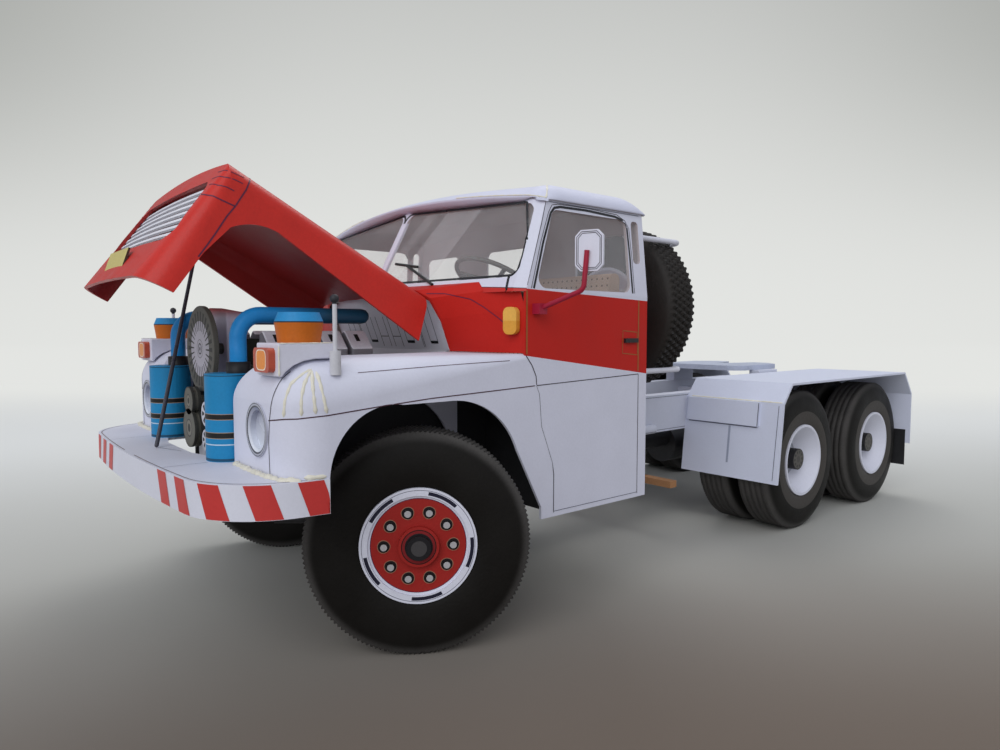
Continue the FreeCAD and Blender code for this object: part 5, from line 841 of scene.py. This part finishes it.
dress(printed("cab_side_card", body_white, 0.10, 0.55, 0.10, cab_paint, 0.15), "cab_sides", "cab_rear_wall")
dress(printed("screen_frame_card", (0.68, 0.69, 0.80), 0.09, 0.55, 0.10, frame_paint), "cab_front_frame")
orange_line = printed("printed_line_orange", (0.34, 0.11, 0.025), 0.4, 0.5, 0.05)
gasket = printed("gasket_black", (0.016, 0.016, 0.020), 0.3, 0.3, 0.1)
door_window = [(-46.9, 55.5), (-44.1, 63.2), (-41.9, 68.2), (-41.0, 69.1), (-39.6, 69.4), (-33.2, 69.5),
               (-25.8, 69.2), (-23.6, 68.7), (-22.6, 67.4), (-22.3, 62.2), (-22.2, 55.5)]
wider = [(y + (0.55 if y > -35 else -0.55), z + (0.4 if z > 68.9 else 0.0)) for y, z in door_window]
cab_lines = [
    ("door_gasket_%s", door_window, 0.42, gasket), ("door_gasket_line_%s", wider, 0.12, seam_black),
    ("door_front_line_%s", [(-45.9, 18.2), (-46.0, 36.0), (-46.4, 41.3), (-47.3, 43.1), (-48.6, 44.7)], 0.16,
     seam_black),
    ("body_seam_%s", [(-46.2, 39.8), (-20.4, 40.65)], 0.14, seam_black),
    ("door_rear_line_%s", [(-20.4, 40.6), (-20.4, 18.2)], 0.14, seam_black),
    ("sill_line_%s", [(-45.6, 18.4), (-20.4, 18.4)], 0.12, line_grey),
    ("belt_seam_%s_0", [(-48.45, 55.1135), (-48.45, 44.96075)], 0.30, orange_line),
    ("belt_seam_%s_1", [(-20.5, 54.275), (-20.5, 41.1875)], 0.30, orange_line),
    ("pillar_line_%s", [(-48.3, 56.0), (-46.6, 60.2), (-44.2, 66.2), (-42.9, 69.9)], 0.12, seam_black),
    ("handle_recess_%s", [(-24.9, 48.7), (-20.9, 48.4), (-20.7, 44.2), (-25.0, 44.6)], 0.16, orange_line),
    ("roof_joint_%s", [(-42.6, 70.0), (-19.0, 70.0)], 0.14, line_grey)]
lay([(name, "cab_sides", [(38, y, z) for y, z in points], (-1, 0, 0), width, finish, "cab_side", "root",
      name.startswith("handle")) for name, points, width, finish in cab_lines])

# Cab roof
# One sheet of white card pulled down over a crowned former: the brow rolls over smoothly,
# the edges stand a card's thickness proud of the eaves, and glue puckers the front corners.
roof_half = 36.9
roof_front = -47.5
roof_rear = -17.5
roof_eaves = 70.32
roof_crest = 75.85
roof_columns = 96
roof_rows = 56


def roof_point(u, v):
    """A point of the roof's skin, u across from -1 to 1, v from the front edge to the rear one."""
    x = roof_half * math.sin(u * math.pi / 2)
    wide = abs(x)
    front = roof_front + 2.6 * min(1.0, wide / 32.0) ** 2
    if wide > 32.0:
        front += 2.2 * (1 - math.sqrt(max(0.0, 1 - ((wide - 32.0) / 4.9) ** 2)))
    edge = roof_eaves + 2.5 * max(0.0, 1 - (x / 36.4) ** 2) + 0.3
    arch = math.sqrt(max(0.0, 1 - (max(0.0, wide - 33.2) / 3.7) ** 2))
    high = roof_eaves + (3.2 + 2.4 * (1 - (wide / 33.7) ** 2)) * arch
    edge = roof_eaves + (edge - roof_eaves) * arch
    y = front + (roof_rear - front) * (0.5 * v ** 1.6 + 0.5 * (1 - (1 - v) ** 1.8))
    reach = 13.0 - 7.0 * (wide / 34.0) ** 4
    brow = 1 - max(0.0, 1 - (y - front) / max(reach, 4.5)) ** 2.2
    z = edge + (high - edge) * brow
    tail = math.sqrt(max(0.0, 1 - max(0.0, 1 - (roof_rear - y) / 4.8) ** 2))
    return Vector((x, y, min(roof_eaves + (z - roof_eaves) * tail, roof_crest)))


def roof_paint(spot, ink):
    return over(ink, lining_brown, spot.inside(cab_middle) * (spot.y > -43.6))


roof_finish = printed("roof_card", (0.62, 0.635, 0.77), 0.08, 0.55, 0.12, roof_paint)
roof_verts = []
for lap in (0.0, 0.35, 0.7):
    curl = math.sin(lap * math.pi / 2)
    for column in range(roof_columns + 1):
        rim = roof_point(2 * column / roof_columns - 1, 0.0)
        wide = abs(rim.x)
        hem_z = 72.12 - wide * 0.0535
        share = (hem_z - 55.0) / 15.3
        middle_y, corner_y = -55.1 + 8.1 * share, -50.0 + 5.9 * share
        hem = Vector((rim.x, middle_y + (corner_y - middle_y) * min(1.0, wide / 34.8) - 0.12, hem_z))
        hem = rim.lerp(hem, min(1.0, max(0.0, (35.2 - wide) / 2.2)))
        roof_verts.append(Vector((rim.x, hem.y + (rim.y - hem.y) * curl, hem.z + (rim.z - hem.z) * lap)) * mm)
for row in range(roof_rows + 1):
    for column in range(roof_columns + 1):
        roof_verts.append(roof_point(2 * column / roof_columns - 1, row / roof_rows) * mm)
roof = mesh_object("roof_skin", roof_verts, woven(roof_rows + 4, roof_columns + 1))
card = roof.modifiers.new("card", "SOLIDIFY")
card.thickness = 0.42 * mm
card.offset = -1.0
settled(roof, "root", roof_finish)
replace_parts(roof, "cab_roof")
for hand, side in sides:
    crease, hem = [], []
    for step in range(12):
        share = step / 11
        spot = roof_point(side * (0.745 + 0.20 * share), 0.16 * (1 - share))
        crease.append((spot * mm, Vector((side * 0.5, -0.6, 0.6))))
    glue_over("roof_corner_glue_" + hand, crease, 0.32, 0.10)
    for step in range(60):
        spot = roof_point(side * (0.30 + 0.66 * step / 59), 0.004) + Vector((0, -0.05, 0.12))
        hem.append((spot * mm, Vector((side * 0.2, -0.95, 0.2))))
    glue_over("roof_hem_" + hand, hem, 0.20, 0.05)

# Screen
# Two curved panes of film behind the frame, edged in black, with a white post between.
screen_corners = [(0.72, 57.2), (36.45, 57.2), (35.35, 70.0), (0.72, 71.85)]


def rounded_outline(corners, radius, steps=5):
    """The corners of a flat outline turned on a radius, as points in order."""
    points = []
    count = len(corners)
    for place in range(count):
        here = Vector(corners[place])
        back = (Vector(corners[place - 1]) - here).normalized()
        ahead = (Vector(corners[(place + 1) % count]) - here).normalized()
        half = back.angle(ahead) / 2
        reach = radius / math.tan(half)
        start, end = here + back * reach, here + ahead * reach
        middle = here + (back + ahead).normalized() * (radius / math.sin(half))
        for step in range(steps + 1):
            blend = start.lerp(end, step / steps) - middle
            points.append(middle + blend.normalized() * radius)
    return points


screen_edge = [(36.25, 58.9)] + rounded_outline(screen_corners, 1.7)[12:]
backward = (0, 1, 0)
screen_edge = [(x, -60.0, z) for x, z in screen_edge]
screen_foot = [(1.2, -60.0, 57.66), (35.2, -60.0, 57.66)]
lay([("screen_gasket_%s", "cab_front_frame", screen_edge, (-0.05, 1, 0), 0.50, gasket),
     ("screen_foot_gasket_%s", "cab_windows", screen_foot, backward, 0.42, gasket)])

# Window film
# Clear film glued behind the openings, faintly veiled, with two slanting bands of light on it.
glass_finish, tree, shader = new_finish("clear_film")
spot = Spot(tree)
run = spot.x - (spot.z - 66.0) * 0.6
veil = noise(tree, spot.place, 0.09) * 0.12 + 0.06
veil = veil + run.within(9.6, 19.5) * 0.10 + run.within(3.4, 6.6) * 0.05
fill(tree, shader, {"Base Color": (0.72, 0.72, 0.74), "Roughness": 0.08, "Alpha": veil})
dress(glass_finish, "cab_windows")

# Inside the cab
# Brown-grey card floor and dashboard, a folded tan bench printed with stitch dots, and an
# olive-black wire steering wheel.
dress(printed("cabin_card", (0.15, 0.13, 0.12), 0.3, 0.6, 0.2), "cab_floor", "dashboard")
stitch_pitch = 1.35


def seat_paint(spot, ink):
    shares = [abs(((run + 100.0) / stitch_pitch).done("FRACT") - 0.5) for run in (spot.x, spot.z)]
    return over(ink, (0.13, 0.07, 0.045), shares[0].done("MAXIMUM", shares[1]) < 0.13)


dress(printed("seat_tan_card", (0.60, 0.42, 0.31), 0.2, 0.6, 0.2, seat_paint), "bench_seat")
dress(printed("wheel_olive_wire", (0.050, 0.045, 0.030), 0.3, 0.35, 0.1), "steering_wheel")
dress(printed("wiper_wire", (0.020, 0.024, 0.024), 0.3, 0.35, 0.1), "wipers")
dress(printed("handle_wire", (0.022, 0.018, 0.020), 0.3, 0.3, 0.1), "door_handles")

# Cowl and firewall
# Red printed card rolled back from a white-flanged arch, over a white panel printed with
# brackets, uprights and a rung. Their feet stand on a black line.
dress(printed("cowl_red_card", cab_red, 0.16, 0.45, 0.14, specular=0.15), "cowl")
purple_line = printed("printed_line_purple", (0.10, 0.012, 0.045), 0.4, 0.45, 0.05)
cowl_crease = [(18.6, -54.6, 55.2), (22.4, -53.5, 55.1), (27.6, -51.8, 54.0), (30.0, -51.0, 52.7),
               (32.6, -50.2, 51.0), (34.2, -49.7, 49.8)]
cowl_foot = [(21.5, -52.6, 45.6), (26.0, -51.8, 45.6), (30.5, -51.0, 45.6), (34.5, -50.2, 45.6)]
brackets = ((13.5, 15.8, 46.6, 53.0), (5.6, 8.1, 46.6, 51.5))
firewall_lines = []
for number, (left, right, low, high) in enumerate(brackets):
    firewall_lines += [("bracket_inner_%%s_%d" % number, (left, high), (left, low), 0.16, line_grey),
                       ("bracket_outer_%%s_%d" % number, (right, high), (right, low), 0.16, line_grey),
                       ("bracket_foot_%%s_%d" % number, (left, low), (right, low), 0.55, gasket)]
for number, wide in enumerate((0.8, 3.7, 10.9, 11.3)):
    firewall_lines.append(("firewall_upright_%%s_%d" % number, (wide, 51.5), (wide, 45.6), 0.14, seam_black))
firewall_lines.append(("firewall_rung_%s", (0.8, 47.6), (3.7, 47.6), 0.14, seam_black))
lay([("cowl_crease_%s", "cowl", cowl_crease, (-0.5, 0.85, -0.2), 0.16, purple_line, "bonnet_red"),
     ("cowl_foot_%s", "front_fenders", cowl_foot, down, 0.35, gasket)]
    + [(name, "firewall", [(x, -60, z) for x, z in ends], backward, width, finish, "firewall_white")
       for name, *ends, width, finish in firewall_lines])
dress(printed("firewall_card", (0.82, 0.82, 0.90), 0.1, 0.58, 0.1), "firewall")

# Bonnet
# One skin of red card folded down at the sides and round the nose, its inside painted dark red as painted
# shade.
# Seams and three louvre strokes are printed at each nose corner.
bonnet_red = (0.56, 0.026, 0.018)
bonnet_inside_shade = (0.34, 0.026, 0.024)
bonnet_middle = Vector((0.0, -76.0, 60.0))


def bonnet_shade_paint(spot, ink):
    # painted shade: the inside of the bonnet is painted dark red
    return over(ink, bonnet_inside_shade, spot.inside(bonnet_middle))


dress(printed("bonnet_red_card", bonnet_red, 0.22, 0.37, 0.16, bonnet_shade_paint, 0.24), "bonnet")
bonnet_seam = [(19.6, -85.2, 71.2), (20.6, -86.5, 68.7), (20.6, -88.1, 66.2), (20.6, -89.3, 64.7),
               (20.6, -90.9, 62.2), (20.6, -92.0, 60.6), (20.6, -93.3, 58.8)]
nose_seam = [(17.4, -92.6, 67.4), (18.3, -92.0, 67.7), (20.3, -91.0, 67.3), (20.6, -89.6, 66.7),
             (20.6, -88.2, 66.2)]
louvres = [[(18.6, -91.1, 69.3), (20.1, -90.3, 68.9), (20.6, -89.2, 68.7), (20.6, -88.2, 68.3)],
           [(17.3, -90.3, 70.4), (20.2, -89.4, 70.1), (20.6, -88.1, 69.9), (20.6, -87.0, 69.5)],
           [(17.6, -89.5, 71.4), (18.8, -89.3, 71.2), (20.3, -88.4, 70.9), (20.6, -87.0, 70.6)]]
bonnet_lines = [("bonnet_seam_%s", bonnet_seam, (-1, 0.15, -0.1), 0.22),
                ("nose_seam_%s", nose_seam, (-0.8, 0.6, 0.1), 0.20)]
bonnet_lines += [("louvre_%%s_%d" % number, stroke, (-0.75, 0.6, -0.25), 0.15)
                 for number, stroke in enumerate(louvres)]
lay([(name, "bonnet", points, toward, width, purple_line, "bonnet_red", "bonnet")
     for name, points, toward, width in bonnet_lines])
dress(printed("slat_card", (0.74, 0.74, 0.80), 0.2, 0.5, 0.1), "grille_slats")


def plate_shade_paint(spot, ink):
    # painted shade: every face of the plate but its front one is painted near-black brown
    return over((0.05, 0.03, 0.02), ink, spot.facing(backward) < -0.6)


dress(printed("plate_card", (0.58, 0.50, 0.17), 0.18, 0.5, 0.15, plate_shade_paint), "blank_plate")
dress(printed("stay_wire", (0.050, 0.050, 0.066), 0.3, 0.3, 0.05), "bonnet_stay")

# Mirrors
# White card plates with a fine double border, on red-painted wire arms.
dress(printed("mirror_card", (0.70, 0.70, 0.80), 0.08, 0.5, 0.1), "mirrors")
dress(printed("arm_red_wire", (0.36, 0.012, 0.040), 0.3, 0.4, 0.2), "mirror_arms")
mirror_turn = math.radians(22.0)
mirror_shape = ((1, 0.72), (0.62, 1), (-0.62, 1), (-1, 0.72), (-1, -0.72), (-0.62, -1), (0.62, -1),
                (1, -0.72))
borders = []
for number, inset in enumerate((0.28, 0.52)):
    border = []
    for wide, tall in mirror_shape:
        run = wide * (2.3 - inset)
        border.append((47.0 + run * math.cos(mirror_turn), -47.8 + run * math.sin(mirror_turn),
                       61.0 + tall * (3.15 - inset)))
    borders.append(("mirror_border_%%s_%d" % number, "mirrors", border, backward, 0.10, seam_black,
                    "mirror_white", "root", True))
lay(borders)

# Engine, fan and belt drive
# Folded dark olive card for the block, a big printed fan disc, two printed pulleys and
# white printed cylinder covers and generator. The covers' sides are painted grey as painted shade.
dress(printed("engine_olive_card", (0.034, 0.038, 0.030), 0.5, 0.6, 0.3), "engine_block")
fan_middle = Vector((0.0, -87.0, 45.7))
fan_grey = (0.44, 0.42, 0.48)
fan_black = (0.05, 0.05, 0.05)
forward = Vector((0.0, -1.0, 0.0))


def fan_paint(spot, ink):
    radius = spot.radius(fan_middle, forward)
    bars = (spot.turn(fan_middle, forward) * 26.0).done("FRACT")
    slots = over(ink, (0.030, 0.028, 0.026), bars.within(0.32, 0.80))
    colour = over(ink, slots, radius.within(4.6, 6.2))
    spokes = over(fan_grey, (0.05, 0.048, 0.045), bars.within(0.50, 0.78))
    colour = over(colour, spokes, radius.within(3.0, 4.6))
    return ringed(colour, radius, [
        (0.30, fan_black), (0.72, (0.40, 0.38, 0.44)), (0.95, fan_black), (1.45, fan_grey),
        (1.58, (0.16, 0.15, 0.17)), (3.0, (0.46, 0.44, 0.50))])


def fan_ring(radius, y, count):
    turns = [2 * math.pi * turn / count for turn in range(count)]
    return [(radius * math.cos(turn), y, fan_middle.z + radius * math.sin(turn)) for turn in turns]


fan = prism("fan_disc", fan_ring(7.1, -87.15, 44), (0, 0.85, 0), 0.12,
            printed("fan_card", (0.105, 0.100, 0.085), 0.3, 0.6, 0.25, fan_paint))
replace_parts(fan, "cooling_fan")
prism("fan_shaft", fan_ring(0.9, -86.3, 16), (0, 2.9, 0), 0.08,
      printed("shaft_card", (0.06, 0.058, 0.05), 0.4, 0.6, 0.25))


def pulley_paint(spot, ink):
    for height, reach in ((37.2, 2.3), (32.7, 3.2)):
        radius = spot.radius(Vector((0.0, -88.0, height)), forward)
        face = ringed((0.12, 0.115, 0.095), radius, [
            (reach * 0.22, (0.04, 0.04, 0.035)), (reach * 0.4, (0.20, 0.19, 0.16)),
            (reach * 0.47, (0.05, 0.05, 0.045)), (reach * 0.85, (0.135, 0.13, 0.11))])
        ink = over(ink, face, radius < reach - 0.12)
    return ink


dress(printed("pulley_card", (0.030, 0.030, 0.026), 0.4, 0.6, 0.25, pulley_paint), "belt_pulleys")
auxiliary_white = (0.60, 0.60, 0.66)


def auxiliary_paint(spot, ink):
    for wide, height, reach in ((5.6, 35.4, 2.0), (5.4, 31.2, 1.7)):
        middle = Vector((wide, -88.0, height))
        radius = spot.radius(middle, forward)
        spokes = (spot.turn(middle, forward) * 6.0).done("FRACT").within(0.25, 0.75)
        face = over(auxiliary_white, (0.02, 0.02, 0.02), spokes * radius.within(reach * 0.3, reach * 0.8))
        ink = over(ink, face, radius < reach - 0.05)
    return ink


dress(printed("auxiliary_card", auxiliary_white, 0.2, 0.5, 0.2, auxiliary_paint), "generator_and_drum")
cover_inner = 7.3
cover_outer = 11.7
cover_ridge = 8.62
cover_foot = 41.0
cover_height = 7.75
cover_length = 4.1
cover_pitch = 4.9
cover_first_y = -80.0
cover_count = 4


def cover_shade_paint(spot, ink):
    # painted shade: all but the upward faces of each cover are painted grey
    colour = over((0.26, 0.25, 0.28), ink, spot.facing(up) > 0.25)
    run = ((spot.y - cover_first_y) / cover_pitch).done("FRACT")
    return over(colour, (0.02, 0.02, 0.022), run.within(0.30, 0.46) * abs(spot.x).within(9.3, 10.5))


cover_finish = printed("cylinder_card", (0.90, 0.89, 0.96), 0.2, 0.55, 0.2, cover_shade_paint)
for hand, side in sides:
    for number in range(cover_count):
        outline = [(side * x, cover_first_y + cover_pitch * number, cover_foot + cover_height * share)
                   for x, share in ((cover_inner, 0), (cover_outer, 0), (cover_outer, 0.6), (cover_ridge, 1),
                                    (cover_inner, 0.92))]
        piece = prism("cylinder_cover_%s_%d" % (hand, number), outline, (0, cover_length, 0), 0.3,
                      cover_finish)
        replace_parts(piece, "cylinder_heads")


def duct_shade_paint(spot, ink):
    # painted shade: the duct turns dark red towards its top, under the bonnet
    return over(ink, (0.34, 0.05, 0.05), eased(spot.z, 50.2, 52.6))


duct_finish = printed("duct_card", (0.74, 0.68, 0.80), 0.12, 0.6, 0.15, duct_shade_paint)
duct = [(x, -83.5, z) for x, z in ((-6.9, 38.6), (2.4, 38.6), (2.4, 51.9), (-6.9, 52.7))]
prism("air_duct", duct, (0, 2.6, 0), 0.3, duct_finish)

# Air cleaners and intake pipes
# Rolled blue canisters with two black clamp bands and a pale line, black collars and blue
# pipes that darken towards the firewall, as painted shade under the bonnet.
band_tan = (0.35, 0.25, 0.17)
band_black = (0.012, 0.012, 0.012)
collar_black = (0.014, 0.014, 0.016)
cleaner_bands = (
    (35.75, 36.65, band_tan), (33.0, 33.95, band_tan), (35.85, 36.55, band_black), (33.1, 33.85, band_black),
    (32.05, 32.22, (0.50, 0.62, 0.72)), (42.1, 42.24, (0.010, 0.05, 0.10)), (29.7, 30.1, (0.012, 0.07, 0.14)),
    (42.45, 60.0, collar_black))


def cleaner_paint(spot, ink):
    for low, high, band_ink in cleaner_bands:
        ink = over(ink, band_ink, spot.z.within(low, high))
    return ink


def pipe_shade_paint(spot, ink):
    # painted shade: the pipe darkens towards the firewall, under the bonnet
    colour = over(ink, (0.008, 0.045, 0.085), (spot.y + 84.0) / 12.0)
    return over(colour, collar_black, spot.z < 44.1)


dress(printed("cleaner_blue_card", (0.012, 0.225, 0.47), 0.2, 0.5, 0.15, cleaner_paint, 0.25), "air_cleaners")
pipe_finish = printed("pipe_blue_card", (0.012, 0.22, 0.55), 0.2, 0.45, 0.15, pipe_shade_paint, 0.25)
pipe_x = 15.3
pipe_y = -86.3
pipe_z = 51.1
pipe_bend = 3.5
pipe_radius = 1.25
pipe_sides = 28
pipe_path = [(pipe_y, 42.4, 1.75), (pipe_y, 44.0, 1.75), (pipe_y, 44.02, pipe_radius),
             (pipe_y, pipe_z - pipe_bend, pipe_radius)]
for step in range(1, 10):
    turn = math.radians(90.0 * step / 10)
    back, drop = pipe_bend * (1 - math.cos(turn)), pipe_bend * (1 - math.sin(turn))
    pipe_path.append((pipe_y + back, pipe_z - drop, pipe_radius))
pipe_path += [(y, pipe_z, radius) for y, radius in ((-82.8, pipe_radius), (-65.6, pipe_radius), (-64.9, 1.1),
                                                    (-64.45, 0.7), (-64.3, 0.05))]
for hand, side in sides:
    verts = []
    across = Vector((1, 0, 0))
    for step, (y, z, radius) in enumerate(pipe_path):
        last, following = pipe_path[max(step - 1, 0)], pipe_path[min(step + 1, len(pipe_path) - 1)]
        lift = across.cross(Vector((0, following[0] - last[0], following[1] - last[1])).normalized())
        for turn in range(pipe_sides):
            angle = 2 * math.pi * turn / pipe_sides
            out = across * math.cos(angle) + lift * math.sin(angle)
            verts.append((Vector((side * pipe_x, y, z)) + out * radius) * mm)
    piece = mesh_object("intake_pipe_" + hand, verts, woven(len(pipe_path), pipe_sides, tube=True))
    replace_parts(settled(piece, "root", pipe_finish), "intake_pipes")

# Spare wheel and hoops
# A tyre like the others, stood across behind the cab in two white painted wire hoops.
low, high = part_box("spare_tyre")
piece = mesh_object("tyre_ring_spare", *tyre_grid((low + high) / (2 * mm), Vector(backward), False))
spare_finish = printed("tyre_card_spare", (0.024, 0.021, 0.019), 0.5, 0.5, 0.35, specular=0.15)
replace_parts(settled(piece, "root", spare_finish), "spare_tyre")
dress(printed("spare_rim_card", card_white, 0.1, 0.55, 0.12), "spare_rim")
dress(printed("hoop_wire", (0.66, 0.67, 0.76), 0.15, 0.5, 0.15), "spare_hoops")

# Fifth wheel
# A white card plate, inked a darker blue-grey as painted shade, on two white card stands.
# painted shade: the white card plate is inked blue-grey
dress(printed("coupling_card", (0.46, 0.50, 0.62), 0.25, 0.5, 0.15), "fifth_wheel_plate")

# Rear mudguards and flaps
# White card bent over each pair of wheels, with printed lockers on the front panels, glue
# showing along their folds, and black card flaps behind.
dress(printed("guard_card", (0.64, 0.67, 0.80), 0.08, 0.58, 0.10), "rear_mudguards")
dress(printed("flap_card", (0.016, 0.016, 0.018), 0.4, 0.6, 0.25), "mud_flaps")
groove = printed("groove_shade", (0.34, 0.37, 0.48), 0.15, 0.5, 0.1)
guard_lines = (("locker_line_%s", [(17.4, 26.2), (35.8, 26.2), (36.3, 26.6), (36.3, 31.9)], 0.22, line_grey),
               ("locker_groove_%s", [(28.9, 26.0), (28.9, 17.2)], 0.55, groove),
               ("guard_fold_glue_%s", [(17.5, 32.3), (41.6, 32.3)], 0.34, 0.10),
               ("guard_edge_line_%s", [(40.7, 14.6), (40.9, 31.6)], 0.16, line_grey))
lay([(name, "rear_mudguards", [(x, 20, z) for x, z in points], backward, width, finish)
     for name, points, width, finish in guard_lines])
